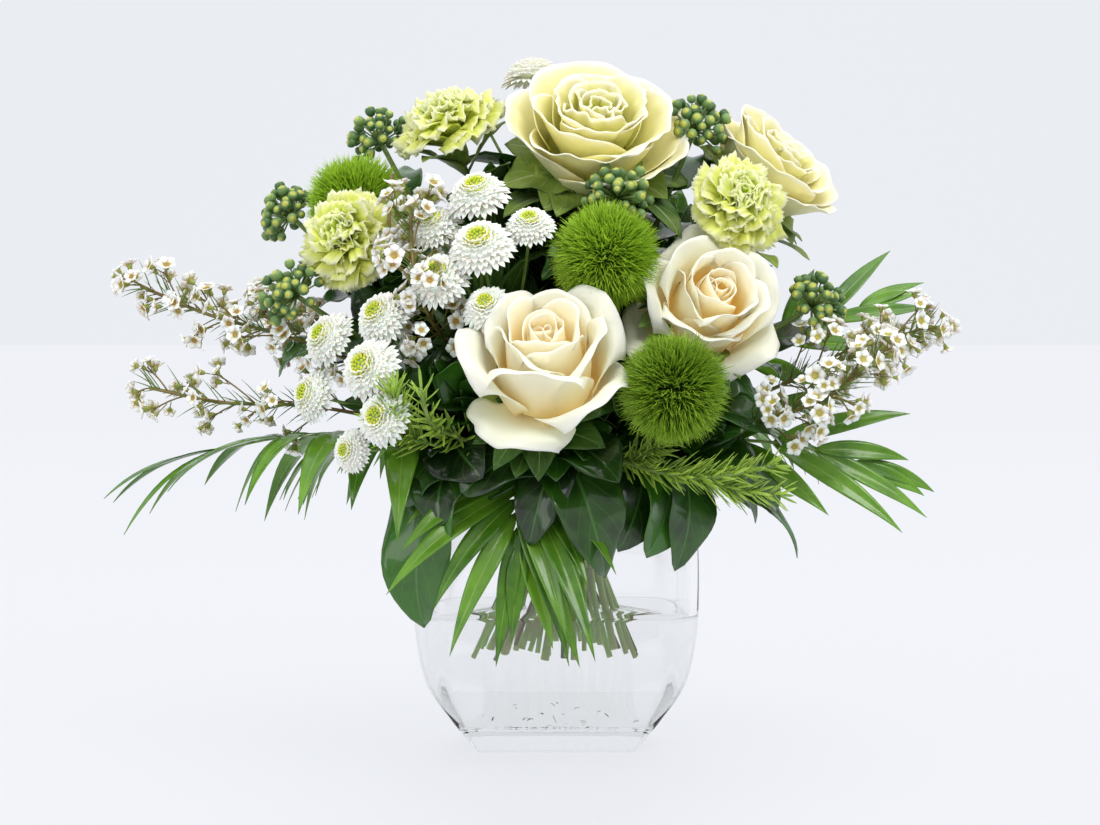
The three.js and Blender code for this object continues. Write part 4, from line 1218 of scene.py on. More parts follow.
# %% [markdown]
# ## Leaves
#
# A leaf is a narrow grid along a bowed line: its width follows an outline, its halves fold up from the rib
# and its margin waves. The finish paints the rib and side veins from the same marks, so they follow each
# leaf however it bends. Ivy and palm are waxy, which a clear coat over the green gives.


# %% Leaf shapes
def ovate(u):
    """Widest near the foot and drawn out to a point: sin(pi u^0.62)^0.85."""
    return np.sin(np.pi * u**0.62) ** 0.85


def broad(u):
    """Wide nearly all along: sin(pi u^0.75)^0.6 less a quarter of u."""
    return np.sin(np.pi * u**0.75) ** 0.6 * (1 - 0.25 * u)


def lance(u):
    """Narrow, and widest near the middle: sin(pi u^0.8)^0.9."""
    return np.sin(np.pi * u**0.8) ** 0.9


def leaves(root, tip, face, width, outline=ovate, bow=0.14, along=12, across=9, dice=None, **folds):
    """Leaves from root to tip, (copies, 3) each, bowed towards face by a share of their length.

    Half the width times the outline is how far a leaf goes to each side of its rib. With dice, each
    margin starts its wave at another point.
    """
    root, tip, face = (np.atleast_2d(p).astype(float) for p in (root, tip, face))
    length = np.linalg.norm(tip - root, axis=1, keepdims=True)
    pull = mix(root, tip, 0.55) + unit(face) * length * bow * 2
    u = np.linspace(0, 1, along)
    half = np.broadcast_to(width, (len(root),))[:, None] / 2 * outline(u)
    half[:, [0, -1]] = 0
    phase = dice.uniform(0, 6, len(root)) if dice is not None else 0.0
    return blades(arcs(root, pull, tip, along), face, half, across, phase=phase, **folds)


def leaf_finish(name, dark, light, vein, gloss, pairs=6.0, **settings):
    """Leaf colour with a pale rib and side veins that run forward towards the margin.

    The rib is where |across| is near 0. Side veins are where the fraction of pairs (along - 0.35 |across|)
    is near a half, and they fade out at the margin.
    """
    finish = Finish(name, roughness=gloss, specular_ior_level=0.3, **settings)
    along, side = finish.mark(0), abs(finish.mark(1))
    shade = finish.noise(60.0, 4.0) + finish.mark(2) * 0.6
    base = finish.mix(shade.between(0.35, 1.0), paint(dark), paint(light))
    stripe = abs(((along - side * 0.35) * pairs).fraction() - 0.5)
    veins = stripe.between(0.06, 0.0) * side.between(1.0, 0.6)
    line = (side.between(0.07, 0.0) * 0.8).math("MAXIMUM", veins * 0.35)
    finish.set("Base Color", finish.mix(line, base, paint(vein)))
    finish.bump(line * -1.0 + finish.noise(300.0, 2.0) * 0.15, 0.35)
    return finish


ivy_look = leaf_finish("ivy_leaf", "102608", "356a14", "4f7f38", 0.38, coat_weight=0.7, coat_roughness=0.09)
foliage_look = leaf_finish("foliage", "1d3f14", "4c722b", "7c9a5c", 0.26)
brassica_look = leaf_finish("brassica_leaf", "46682a", "9ab04c", "c9d2a0", 0.42)
fresh_look = leaf_finish("fresh_leaf", "3c6a24", "86a84a", "c3d296", 0.4)
palm_look = leaf_finish(
    "palm_leaflet", "2a5c10", "6c9e2a", "92b452", 0.24, pairs=0.0, coat_weight=0.4, coat_roughness=0.1
)
print("outlines halfway along:", [round(float(shape(0.5)), 2) for shape in (ovate, broad, lance)])

# %% [markdown]
# ## Petal finish
#
# A petal is thin and lets light through, so its finish has subsurface scattering. Its colour is deep at its
# foot and in the heart of the bloom, pale above and lightest just at the rim. The outermost petals keep
# some of the green they had as a bud.


# %% Petal finish and blooms on their stems
def petal_finish(name, deep, pale, rim, guard):
    """Petals: deep to pale by how far up the petal and how far out in the bloom a point lies, the guard
    colour on the last petals, the rim's along the edge, and fine ribs as a bump."""
    finish = Finish(name, roughness=0.5, subsurface_weight=0.45, subsurface_scale=0.004)
    finish.set("Subsurface Radius", (1.0, 0.95, 0.76))
    along, side, outer = finish.mark(0), abs(finish.mark(1)), finish.mark(2)
    base = finish.mix((along * 0.8 + outer * 0.8).between(0.3, 1.2), paint(deep), paint(pale))
    base = finish.mix(outer.between(0.86, 1.0) * (1 - along * 0.5), base, paint(guard))
    edge = (along + side * 0.12).between(0.9, 1.06)
    finish.set("Base Color", finish.mix(edge * 0.8, base, paint(rim)))
    finish.bump((finish.mark(1) * 90.0).sine() * 0.1 + finish.noise(150.0, 3.0), 0.2)
    return finish


def bloom_middle(bloom):
    """The place of a bloom's middle."""
    return bloom["at"] + bloom.get("lift", 0) * UP


def set_on_stem(points, bloom, drawn_at):
    """Turns a bloom drawn round +Z to face its way and moves it to its place, at its own size."""
    turn = turned(bloom.get("look", bloom["facing"]))[0]
    return bloom_middle(bloom) + bloom["radius"] / drawn_at * points @ turn.T


def petals_piece(name, bloom, petals, drawn_at, finish, thickness):
    """The petals of one bloom as a piece, from what the rosette gives."""
    points, tone = petals
    surface = Surface().grids(set_on_stem(points, bloom, drawn_at), tone)
    piece(name + "_bloom", surface, finish, [name + "_petals"], thickness)


print(len({**ROSES, **CABBAGES, **CARNATIONS}), "blooms to set on stems")

# %% [markdown]
# ## Roses
#
# The front roses are half open: a tight spiral in the heart, a cup of rounded petals round it, and guard
# petals that lie back. Light that passes from petal to petal warms the heart more than scattering within
# one petal can show, so a faint glow of its own stands in for it.

# %% Rose pieces
ROSE_PETALS, ROSE_DRAWN_AT, SEPALS = 21, 40, 5


def rose_finish():
    """Cream petals with the faint warm glow low down and in the heart, which ends further out."""
    finish = petal_finish("rose_petal", "f8d868", "fffde2", "fffef0", "f2f4cc")
    outer = (finish.mark(0) * 0.55 + finish.mark(2) * 0.55).between(0.15, 0.75)
    finish.set("Emission Color", finish.mix(outer, paint("ffca60"), (0.0, 0.0, 0.0)))
    finish.set("Emission Strength", 0.17)
    return finish


def rose_sepals():
    """Five narrow sepals that hang back below a rose drawn round +Z."""
    flat = level_ways(even_turns(SEPALS))
    return leaves(flat * 2 - 29 * UP, flat * 24 - 38 * UP, UP, 8, lance, 0.2, 10, 7)


rose_look = rose_finish()
for i, (name, bloom) in enumerate(ROSES.items()):
    petals = rosette(ROSE_PETALS, ROSE, 20, 21, i + 1)
    petals_piece(name, bloom, petals, ROSE_DRAWN_AT, rose_look, 0.35)
    sepals = Surface().grids(set_on_stem(rose_sepals(), bloom, ROSE_DRAWN_AT), np.linspace(0, 0.5, SEPALS))
    piece(name + "_sepals", sepals, fresh_look, [name + "_stem"], 0.5)
    piece(name + "_stalk", stem_rod(name), stem_look, [name + "_stem"])

# %% [markdown]
# ## Ornamental cabbages
#
# They aren't flowers but rosettes of leaves, cream in the middle and green outside. The cream ones come
# from the same rosette as the roses', and the green ones are ordinary leaves in a ring below them.

# %% Cabbage pieces
CABBAGE_PETALS, CABBAGE_DRAWN_AT, COLLAR_DRAWN_AT, OUTER_LEAVES = 20, 48, 52, 9


def outer_leaves(seed):
    """Big green leaves that stand out below a cabbage drawn round +Z."""
    dice = np.random.default_rng(seed)
    flat = level_ways(even_turns(OUTER_LEAVES) + dice.uniform(-0.2, 0.2, OUTER_LEAVES))
    reach = dice.uniform(52, 60, OUTER_LEAVES)[:, None]
    tip = flat * reach + UP * dice.uniform(-34, -12, OUTER_LEAVES)[:, None]
    return leaves(flat * 5 - 27 * UP, tip, UP - flat * 0.3, 48, ovate, 0.1, 14, 15, dice, fold=0.1, wave=0.12)


cabbage_look = petal_finish("cabbage_petal", "d0d63a", "fbf3b2", "fffaea", "fcf5d4")
for i, (name, bloom) in enumerate(CABBAGES.items()):
    petals = rosette(CABBAGE_PETALS, CABBAGE, 16, 29, i + 1)
    petals_piece(name, bloom, petals, CABBAGE_DRAWN_AT, cabbage_look, 0.6)
    collar = set_on_stem(outer_leaves(i), bloom, COLLAR_DRAWN_AT)
    collar = Surface().grids(collar, np.linspace(0, 0.5, OUTER_LEAVES))
    piece(name + "_outer_leaves", collar, brassica_look, [name + "_stem"], 0.6)
    piece(name + "_stalk", stem_rod(name), stem_look, [name + "_stem"])

# %% [markdown]
# ## Carnations
#
# A carnation has many narrow petals crowded in a green tube, the calyx. The rosette gives them teeth at the
# rim and strong waves, so that they fill a ball, and the calyx is a profile turned on a lathe.

# %% Carnation pieces
CARNATION_PETALS, CARNATION_DRAWN_AT, CALYX_DRAWN_AT = 38, 27.5, 30
CALYX = lathe([(0, -24), (3.5, -23), (5.5, -17), (6, -10), (7, -4), (8, -1), (0, -2)], 12)
carnation_look = petal_finish("carnation_petal", "a8cc14", "ecf26c", "f8f8cc", "d8e860")
for i, (name, bloom) in enumerate(CARNATIONS.items()):
    petals = rosette(CARNATION_PETALS, CARNATION, 12, 33, i + 1)
    petals_piece(name, bloom, petals, CARNATION_DRAWN_AT, carnation_look, 0.35)
    stalk = stem_rod(name).grids(set_on_stem(CALYX, bloom, CALYX_DRAWN_AT), 0.3, wrap=True)
    piece(name + "_stalk", stalk, stem_look, [name + "_stem"])

# %% [markdown]
# ## Green ball dianthus
#
# The ball is all bracts: thousands of soft green needles round a dense core. The needles are painted dark
# green deep in the ball, which is painted shade, and lime at their tips, which is a painted highlight; the
# core is painted darker still, as painted shade. Hair particles could draw them, but they don't survive an
# export as a mesh, so each needle is a three-sided tube. They lean together in tufts, which keeps the ball
# from looking combed.

# %% Ball pieces
NEEDLES, TUFTS = 4200, 60
NEEDLE_THICKNESS = np.array([[0.42, 0.42, 0.4, 0.3, 0.05]])
BALL_CORE = lathe([(0, -17), (10, -14), (16.5, -5), (16.5, 5), (10, 14), (0, 17)], 16)


def ball_needles(radius, seed):
    """Needles that start deep in the ball and bend over sideways at their tips, in uneven tufts.

    Each belongs to the tuft whose direction is nearest to its own, and leans towards it.
    """
    dice = np.random.default_rng(seed)
    way = dome_directions(NEEDLES)
    tuft = dice.normal(size=(TUFTS, 3))
    tuft_of = np.argmax(way @ unit(tuft).T, axis=1)
    side = unit(np.cross(way, dice.normal(size=way.shape)) + 0.6 * tuft[tuft_of])
    size = radius * dice.uniform(0.88, 1.05, NEEDLES) * dice.uniform(0.94, 1.05, TUFTS)[tuft_of]
    size = size[:, None]
    tip = way * size + side * dice.uniform(1, 6, NEEDLES)[:, None]
    paths = arcs(way * size * 0.4, way * size * 0.8 - side * 1.5, tip, 5)
    return tubes(paths, NEEDLE_THICKNESS, 3), dice.uniform(0, 1, NEEDLES)


def bract_finish():
    """Dark green at a needle's foot, which is painted shade, and lime at its tip, a painted highlight, on
    each by its tone.
    """
    finish = Finish("lime_bract", roughness=0.55)
    # Deep in the ball the green is painted dark as painted shade, and towards the tips lime as a painted
    # highlight.
    lime = (finish.mark(0) + finish.mark(2) * 0.25).between(0.25, 1.15)
    finish.set("Base Color", finish.mix(lime, paint("2f5c06"), paint("b6e036")))
    return finish


bract = bract_finish()
for i, (name, bloom) in enumerate(BALLS.items()):
    needles, tone = ball_needles(bloom["radius"], i)
    middle = bloom_middle(bloom)
    # A ball's `dark` lowers the tone of its needles: painted shade from the heads round it.
    surface = Surface().grids(needles + middle, tone - bloom.get("dark", 0), wrap=True)
    # The core is painted the darkest green, as painted shade inside the ball.
    surface.grids(BALL_CORE + middle, -1.0, wrap=True)
    surface.rods(stem_paths[name][None], 1.7, 7)
    piece(name + "_head", surface, bract, [name])

# %% [markdown]
# ## Button chrysanthemums
#
# A button head is a flat dome of narrow white petals in many layers round a green eye. The petals of one
# layer are alike, so a layer is one array, and each next one is shorter, steeper and turned on a little.

# %% One head and its eye
LAYERS, KNOBS = 7, 46
PETAL_OUTLINE = np.array([[0.5, 0.8, 1.0, 1.05, 0.9, 0.0]])
HEAD_CORE = lathe([(0, -6), (6, -5), (10, -2.5), (9, 0), (6, 1.5), (0, 1.8)], 14)


def petal_layer(k, dice):
    """Layer k of a head round +Z: 30 - 2k petals that rise by 13k - 8 degrees from a ring near the eye."""
    count = 30 - 2 * k
    flat = level_ways((np.arange(count) + dice.uniform(-0.2, 0.2, count)) / count * 2 * np.pi + k * 0.7)
    rise = np.radians(-8 + 13 * k + dice.uniform(-6, 6, count))[:, None]
    way = flat * np.cos(rise) + UP * np.sin(rise)
    root = flat * (5.5 - 0.3 * k) + (0.9 * k - 5.0) * UP
    tip = root + way * (10.0 - 0.75 * k) * dice.uniform(0.92, 1.06, count)[:, None] - 0.6 * UP
    pull = mix(root, tip, 0.6) + 1.4 * UP
    half = 1.3 * PETAL_OUTLINE.repeat(count, 0)
    return blades(arcs(root, pull, tip, 6), UP - flat * 0.4, half, 5, 0.4)


def button_head(seed):
    """One head round +Z: layers of narrow petals with round tips, steeper towards the eye."""
    dice = np.random.default_rng(seed)
    head = Surface()
    for k in range(LAYERS):
        head.grids(petal_layer(k, dice), k / LAYERS)
    return head


def eye():
    """The eye of a head: small knobs packed in a low dome."""
    way = dome_directions(KNOBS, 0.35)
    at = way * (5.2, 5.2, 4.0) + 0.5 * UP
    knob = Surface().grids(lathe([(0, -0.6), (0.75, 0), (0.7, 0.8), (0, 1.2)], 6), wrap=True)
    return Surface().copies(knob, at, turned(way), 1.0, np.linspace(0, 1, KNOBS))


print(len(eye().arrays()[0]), "points in an eye")

# %% [markdown]
# ## Chrysanthemums on their sprays
#
# Every head of a spray is drawn anew, so that no two are alike, then turned outwards and given its own
# branch. The branches leave the last part of the stem one after another and bend up to their heads.

# %% Chrysanthemum pieces
# A head of this radius is drawn at its own size.
HEAD_DRAWN_AT = 12.6


def petal_white():
    """White, with the green of the eye low down on the inner petals."""
    finish = Finish("white_petal", roughness=0.5, subsurface_weight=0.2, subsurface_scale=0.003)
    outer = (finish.mark(0) + finish.mark(2) * -0.35 + 0.25).between(0.0, 0.75)
    finish.set("Base Color", finish.mix(outer, paint("dce878"), paint("fbfaf2")))
    return finish


def eye_finish():
    """Green at the crown of the eye, where the tones are low, and yellow round it."""
    finish = Finish("button_eye", roughness=0.6)
    crown = finish.mark(2).between(0.05, 0.5)
    finish.set("Base Color", finish.mix(crown, paint("b4c826"), paint("eceb5c")))
    return finish


def dress_chrysanthemum(name, heads, first_seed):
    """All heads of one spray, their eyes and their branches."""
    at, size = heads[:, :3], heads[:, 3] / HEAD_DRAWN_AT
    facing = outward(at)
    petals, eyes, core = Surface(), Surface(), Surface().grids(HEAD_CORE, wrap=True)
    for k in range(len(heads)):
        place = turned(facing[k], k * 1.3)
        petals.copies(core, at[[k]], place, size[[k]])
        petals.copies(button_head(first_seed + k), at[[k]], place, size[[k]])
        eyes.copies(eye(), at[[k]], place, size[[k]])
    roots = stem_paths[name][-2 - 3 * np.arange(len(heads))]
    feet = at - 6 * facing
    stalks = Surface().rods(arcs(roots, mix(roots, feet, 0.6) - 8 * facing, feet, 8), 0.9, 6)
    stalks.rods(stem_paths[name][None], 1.8, 7)
    piece(name + "_petals", petals, white, [name], 0.3)
    piece(name + "_eyes", eyes, eye_look, [name])
    piece(name + "_stalks", stalks, stem_look, [name])


white, eye_look = petal_white(), eye_finish()
for i, (name, (_, heads)) in enumerate(BUTTONS.items()):
    dress_chrysanthemum(name, np.array(heads, dtype=float), 10 * i)

# %% [markdown]
# ## Ivy berries
#
# Ivy berries stand on thin stalks that spread from one point, as a ball. One berry is a profile on a lathe
# with a small cap, and all of a cluster are copies of it, each turned outwards.

# %% Berry clusters
BERRIES = 46
# Radius and height from the foot of a berry up its side and over its cap.
BERRY_SIDE = [(0, -3.6), (1.8, -3.0), (3.3, -1.0), (3.5, 0.8), (2.9, 2.4)]
BERRY_CAP = [(1.6, 2.9), (0.7, 3.2), (0, 3.9)]


def berry_finish():
    """Two greens by tone, and a yellowish cap where a berry's profile is nearly at its end."""
    finish = Finish("ivy_berry", roughness=0.45)
    cap = (finish.mark(0) + finish.noise(200.0) * 0.1).between(0.64, 0.8)
    body = finish.mix(finish.mark(2), paint("3f6438"), paint("7a9a58"))
    finish.set("Base Color", finish.mix(cap, body, paint("b9bd50")))
    return finish


def umbel(centre, seed):
    """Berries 12 to 20 mm from a point, spread over a dome that faces outwards, and their stalks."""
    dice = np.random.default_rng(seed)
    way = dome_directions(BERRIES, -0.25) @ turned(outward(centre))[0].T
    way = unit(way + dice.normal(0, 0.08, way.shape))
    at = centre + way * dice.uniform(12, 20, BERRIES)[:, None]
    berry = Surface().grids(lathe(BERRY_SIDE + BERRY_CAP, 10), wrap=True)
    size, tone = dice.uniform(0.68, 1.0, BERRIES), dice.uniform(0, 1, BERRIES)
    stalks = arcs(centre[None].repeat(BERRIES, 0), mix(centre, at, 0.5), at - way * 3, 3)
    return Surface().copies(berry, at, turned(way), size, tone), stalks


berry_look = berry_finish()
print(BERRIES, "berries in a cluster")

# %% [markdown]
# ## Ivy leaves
#
# The collar's leaves are placed one by one, because they are what the photograph shows best. Each starts
# at the nearest point of its own stem. A twist along the rib makes some catch the light and others not.


# %% Ivy pieces
def spots_of(rows):
    """Roots, tips and widths from rows of (root, tip, width)."""
    return [np.array(column, dtype=float) for column in zip(*rows)]


def dress_ivy(name, ivy, seed):
    """One ivy stem with its leaves and, where it has them, its berries."""
    dice = np.random.default_rng(seed)
    near, tip, width = spots_of(ivy["leaves"])
    root = np.array([nearest_on_stem(name, point) for point in near])
    face = outward(mix(root, tip, 0.5)) + 0.4 * UP
    bends = dict(fold=0.2, wave=0.2, waves=1.7, twist=dice.uniform(-0.7, 0.7, len(root)))
    grids = leaves(root, tip, face, width * 1.3, broad, 0.18, 18, 13, dice, **bends)
    tone = ivy.get("tones", dice.uniform(-0.3, 0.9, len(root)))
    piece(name + "_leaves", Surface().grids(grids, tone), ivy_look, [name], 0.5)
    stalk = Surface().rods(stem_paths[name][None], 1.5)
    if "cluster" in ivy:
        berries, stalks = umbel(ivy["cluster"], seed)
        stalk.rods(stalks, 0.5, 5)
        piece(name + "_berries", berries, berry_look, [name])
    piece(name + "_stalk", stalk, stem_look, [name])


for seed, (name, ivy) in enumerate(IVIES.items()):
    dress_ivy(name, ivy, seed)

# %% [markdown]
# ## Twigs, flowers and needles along a line
#
# Waxflower and rosemary are grown the same way: points at shares of a line, and directions that lean off
# it by some angle all round. A twig leans off its stem, and a flower's stalk leans off its twig.


# %% Growing things along a line
def along_path(points, share):
    """Points at shares of a curve's length, and the directions there."""
    path = smooth_path(points, 200)
    at = (share * 199).astype(int)
    return path[at], directions_along(path)[at]


def lean_off(way, turn, lean):
    """Directions that lean off others by an amount, at turns round them: way + lean (x cos + y sin)."""
    across = turned(way)
    side = across[:, :, 0] * np.cos(turn)[:, None] + across[:, :, 1] * np.sin(turn)[:, None]
    return unit(way + side * np.broadcast_to(lean, turn.shape)[:, None])


def wax_flower():
    """One flower of radius 6 round +Z: five round petals."""
    flat = level_ways(even_turns(5))
    root, tip = flat * 1.6, flat * 5.6 + 1.8 * UP
    half = 2.3 * np.array([[0.45, 0.95, 1.0, 0.0]]).repeat(5, 0)
    return Surface().grids(blades(arcs(root, mix(root, tip, 0.5) - 0.3 * UP, tip, 4), UP, half, 3, 0.25))


def wax_cup():
    """The cup that the five petals stand on."""
    profile = [(0, -4), (1.2, -3), (1.9, 0), (1.6, 0.4), (1.0, -0.2), (0, 0.2)]
    return Surface().grids(lathe(profile, 7), wrap=True)


def petal_tint():
    """White petals, cream at their foot."""
    finish = Finish("waxflower_petal", roughness=0.4, subsurface_weight=0.2, subsurface_scale=0.003)
    outer = finish.mark(0).between(0.0, 0.45)
    finish.set("Base Color", finish.mix(outer, paint("e3c98f"), paint("fbfaf6")))
    return finish


def cup_finish():
    """A green cup whose inside is brown or, on fresh flowers, green."""
    finish = Finish("waxflower_cup", roughness=0.4)
    heart = finish.mix(finish.mark(2), paint("a87a34"), paint("b9b44a"))
    finish.set("Base Color", finish.mix(finish.mark(0).between(0.3, 0.75), paint("8f9a44"), heart))
    return finish


wax_look, cup_look = petal_tint(), cup_finish()
twig_look = leafy_green("waxflower_twig", "6f4a2c", "8f9a44", 0.5)
needle_look = leafy_green("needle_green", "4a6a22", "8aa048", 0.4)
print(len(wax_flower().arrays()[0]), "points in a waxflower")

# %% [markdown]
# ## Waxflowers
#
# A spray carries twigs in a spiral, each with a tuft of small flowers at its end, and fine needles all
# along its stem. There are hundreds of flowers, so their places follow from the line of the stem, and
# only what differs between the sprays is written down.

# %% Waxflower pieces
# A full spray, and how the others differ from it. `span` is the part of the line that flowers and `crowd`
# above 1 packs the twigs towards its foot. `lean` moves the line's last points, by the shares below.
FULL_SPRAY = dict(twigs=17, flowers=5, needles=130, span=(0.22, 0.99), crowd=1.0, lean=vec(0, 0, 0))
LEAN_SHARES = (0, 0.8, 1, 0.7)
SPRAYS = {
    "waxflower_left_lower": dict(twigs=12, flowers=4, needles=70),
    "waxflower_left_upper": dict(needles=90),
    "waxflower_middle": dict(
        twigs=20, flowers=6, needles=50, span=(0.1, 0.98), crowd=1.3, lean=vec(16, -30, -26)
    ),
}


def grow_twigs(path, spray, dice):
    """Roots, directions and ends of twigs in a spiral of golden angles; they get shorter up the stem."""
    count = spray["twigs"]
    share = mix(*spray["span"], np.linspace(0, 1, count) ** spray["crowd"])
    root, way = along_path(path, share)
    turn = np.arange(count) * GOLDEN_ANGLE + dice.uniform(0, 1, count)
    way = lean_off(way, turn, dice.uniform(0.5, 1.1, count))
    return root, way, root + way * (dice.uniform(18, 36, count) * mix(1.1, 0.6, share))[:, None]


def grow_flowers(way, end, flowers, dice):
    """Where the flowers of each twig start, sit and face: all round the last 12 mm of the twig."""
    spot = np.repeat(np.arange(len(end)), flowers)
    turn = np.tile(even_turns(flowers), len(end)) + dice.uniform(0, 1, len(spot))
    facing = lean_off(way[spot], turn, dice.uniform(0.3, 1.3, len(spot)))
    start = end[spot] - way[spot] * dice.uniform(0, 12, len(spot))[:, None]
    return start, start + facing * dice.uniform(6, 12, len(spot))[:, None], facing


def grow_needles(path, count, dice):
    """Thin needles that stand off a line at any turn, as wrapped grids."""
    root, way = along_path(path, dice.uniform(0.2, 1, count) * 0.995)
    way = lean_off(way, dice.uniform(0, 6.3, count), 1.0)
    tip = root + way * dice.uniform(10, 22, count)[:, None]
    return tubes(arcs(root, mix(root, tip, 0.5) + UP, tip, 4), np.array([[0.3, 0.34, 0.26, 0.05]]), 4)


def dress_waxflower(name, path, spray, seed):
    """One spray: petals, cups, twigs with the stem, and needles."""
    dice = np.random.default_rng(seed)
    path = [point + spray["lean"] * share for point, share in zip(path, LEAN_SHARES)]
    root, way, end = grow_twigs(path, spray, dice)
    start, at, facing = grow_flowers(way, end, spray["flowers"], dice)
    size, place = dice.uniform(0.7, 1.1, len(at)), turned(facing, dice.uniform(0, 6, len(at)))
    green = dice.uniform(0, 1, len(at)) * 0.5 + 0.5 * ("right" in name)
    twigs = Surface().rods(arcs(root, mix(root, end, 0.5) + 2 * UP, end, 5), 0.5, 5)
    twigs.rods(arcs(start, mix(start, at, 0.5), at - facing * 3, 5), 0.32, 5)
    for line in (stem_paths[name], smooth_path(path, 40)):
        twigs.rods(line[None], 1.0, 6)
    needles = Surface().grids(grow_needles(path, spray["needles"], dice), wrap=True)
    petals = Surface().copies(wax_flower(), at, place, size)
    cups = Surface().copies(wax_cup(), at, place, size, green)
    piece(name + "_petals", petals, wax_look, [name], 0.25)
    piece(name + "_cups", cups, cup_look, [name])
    piece(name + "_twigs", twigs, twig_look, [name])
    piece(name + "_needles", needles, needle_look, [name])


for seed, (name, path) in enumerate(WAXFLOWERS.items()):
    dress_waxflower(name, path, {**FULL_SPRAY, **SPRAYS.get(name, {})}, seed)

# %% [markdown]
# ## Rosemary
#
# Rosemary has short stiff needles in a dense spiral, folded along the middle. A sprig branches near its
# foot into shoots that run forward beside it.

# %% Rosemary pieces
SHOOT_SHARES = np.array([0.25, 0.45, 0.62])
LEFT_SPRIG = route((-66, -120, 186), (-76, -130, 190), (-84, -142, 196), (-86, -150, 208))
# The line of each sprig that shows, and how long its shoots are.
SPRIGS = {"rosemary_right": (ROSEMARIES["rosemary_right"], 1.0), "rosemary_left": (LEFT_SPRIG, 0.45)}
SPRIG_NEEDLES, SHOOT_NEEDLES = 80, 55


def shoots_of(path, dice, size):
    """The sprig's own line and three side shoots that run forward from it."""
    root, way = along_path(path, SHOOT_SHARES)
    way = lean_off(way, dice.uniform(0.5, 2.6, 3), 0.5)
    tip = root + size * way * dice.uniform(36, 52, 3)[:, None] + 6 * UP
    return [path, *arcs(root, mix(root, tip, 0.5) - 3 * UP, tip, 4)]


def rosemary_needles(path, count, dice):
    """Needles in a spiral of golden angles that lean off the line and get shorter towards its tip."""
    share = np.sort(dice.uniform(0.08, 0.995, count))
    root, way = along_path(path, share)
    lean = lean_off(way, np.arange(count) * GOLDEN_ANGLE, dice.uniform(0.5, 1.3, count))
    tip = root + lean * (dice.uniform(14, 22, count) * mix(1, 0.7, share))[:, None]
    pull = mix(root, tip, 0.5) + (lean - way) * 1.6
    half = 0.8 * np.array([[0.4, 0.9, 1.0, 0.9, 0.0]]).repeat(count, 0)
    return blades(arcs(root, pull, tip, 5), way, half, 3, 0.4)


def dress_rosemary(name, path, size, seed):
    """One sprig with its shoots, and the stem's own end, which is dressed as a shoot too."""
    dice = np.random.default_rng(seed)
    needles, sticks = Surface(), Surface().rods(stem_paths[name][None], 1.2)
    for k, shoot in enumerate([*shoots_of(path, dice, size), ROSEMARIES[name]]):
        count = SPRIG_NEEDLES if k == 0 else SHOOT_NEEDLES
        needles.grids(rosemary_needles(shoot, count, dice), dice.uniform(0, 0.8, count))
        sticks.rods(smooth_path(shoot, 12)[None], np.linspace(0.9, 0.4, 12)[None], 6)
    piece(name + "_needles", needles, rosemary_look, [name], 0.3)
    piece(name + "_stalk", sticks, stem_look, [name])


rosemary_look = leafy_green("rosemary_green", "4e7c28", "b4d452", 0.4)
for seed, (name, (path, size)) in enumerate(SPRIGS.items()):
    dress_rosemary(name, path, size, seed)

# %% [markdown]
# ## Palm fronds
#
# A frond is a rib with pairs of leaflets that sweep forward and hang down at their tips. Each leaflet is
# a pleated blade, creased along its middle, and its chance twist keeps the two rows from looking stamped.

# %% Palm pieces
LEAFLET_POINTS = 14


def leaflet_reach(reach, share):
    """A leaflet's length: most halfway along the rib, or straight from one length to the other of two."""
    if np.isscalar(reach):
        return reach * (0.65 + 0.35 * np.sin(np.pi * share))
    return mix(*reach, share)


def leaflet_halves(wide, share):
    """Half widths along each leaflet: those at the rib times sin(pi u^0.68)^1.05."""
    u = np.linspace(0, 1, LEAFLET_POINTS)
    half = mix(*wide, share)[:, None] * np.sin(np.pi * u**0.68) ** 1.05
    half[:, [0, -1]] = 0
    return half


def dress_palm(name, palm, seed):
    """One frond: a row of leaflets on each side, and the rib with the stem."""
    dice = np.random.default_rng(seed)
    pairs = palm.get("pairs", 10)
    share = np.linspace(0.06, 1.0, pairs)
    droop = mix(*np.broadcast_to(palm["droop"], 2), share)[:, None]
    sweep = np.radians(mix(*palm.get("sweep", (62, 14)), share))[:, None]
    reach = leaflet_reach(palm["reach"], share)[:, None]
    half = leaflet_halves(palm.get("wide", (7, 4.6)), share)
    root, way = along_path(palm["rib"], share * 0.995)
    side = unit(np.cross(way, palm.get("up", UP)))
    face = unit(np.cross(side, way))
    leaflets = Surface()
    for s in (-1, 1):
        out = way * np.cos(sweep) + s * side * np.sin(sweep)
        length = reach * dice.uniform(0.78, 1.12, (pairs, 1))
        tip = root + out * length - UP * length * droop * dice.uniform(0.6, 1.25, (pairs, 1))
        bows = arcs(root, root + out * length * 0.65 + face * 4, tip, LEAFLET_POINTS)
        tone, twist = dice.uniform(0, 0.7, pairs), dice.uniform(-0.8, 0.8, pairs)
        leaflets.grids(blades(bows, face, half, 7, 0.22, twist=twist), tone)
    piece(name + "_leaflets", leaflets, palm_look, [name], 0.35)
    rib = Surface().rods(smooth_path(palm["rib"], 40)[None], np.linspace(1.5, 0.5, 40)[None], 7)
    piece(name + "_rib", rib.rods(stem_paths[name][None], 1.5, 7), stem_look, [name])


for seed, (name, palm) in enumerate(PALMS.items()):
    dress_palm(name, palm, seed)

# %% [markdown]
# ## Room before the blooms
#
# Between the heads the photograph shows nothing but dark leaves: each flower stem keeps its upper leaves,
# and they close the gaps. They grow by chance, so a test has to keep them off the blooms: a leaf is left
# out where any of its points lies inside a bloom or in the space that the bloom faces.

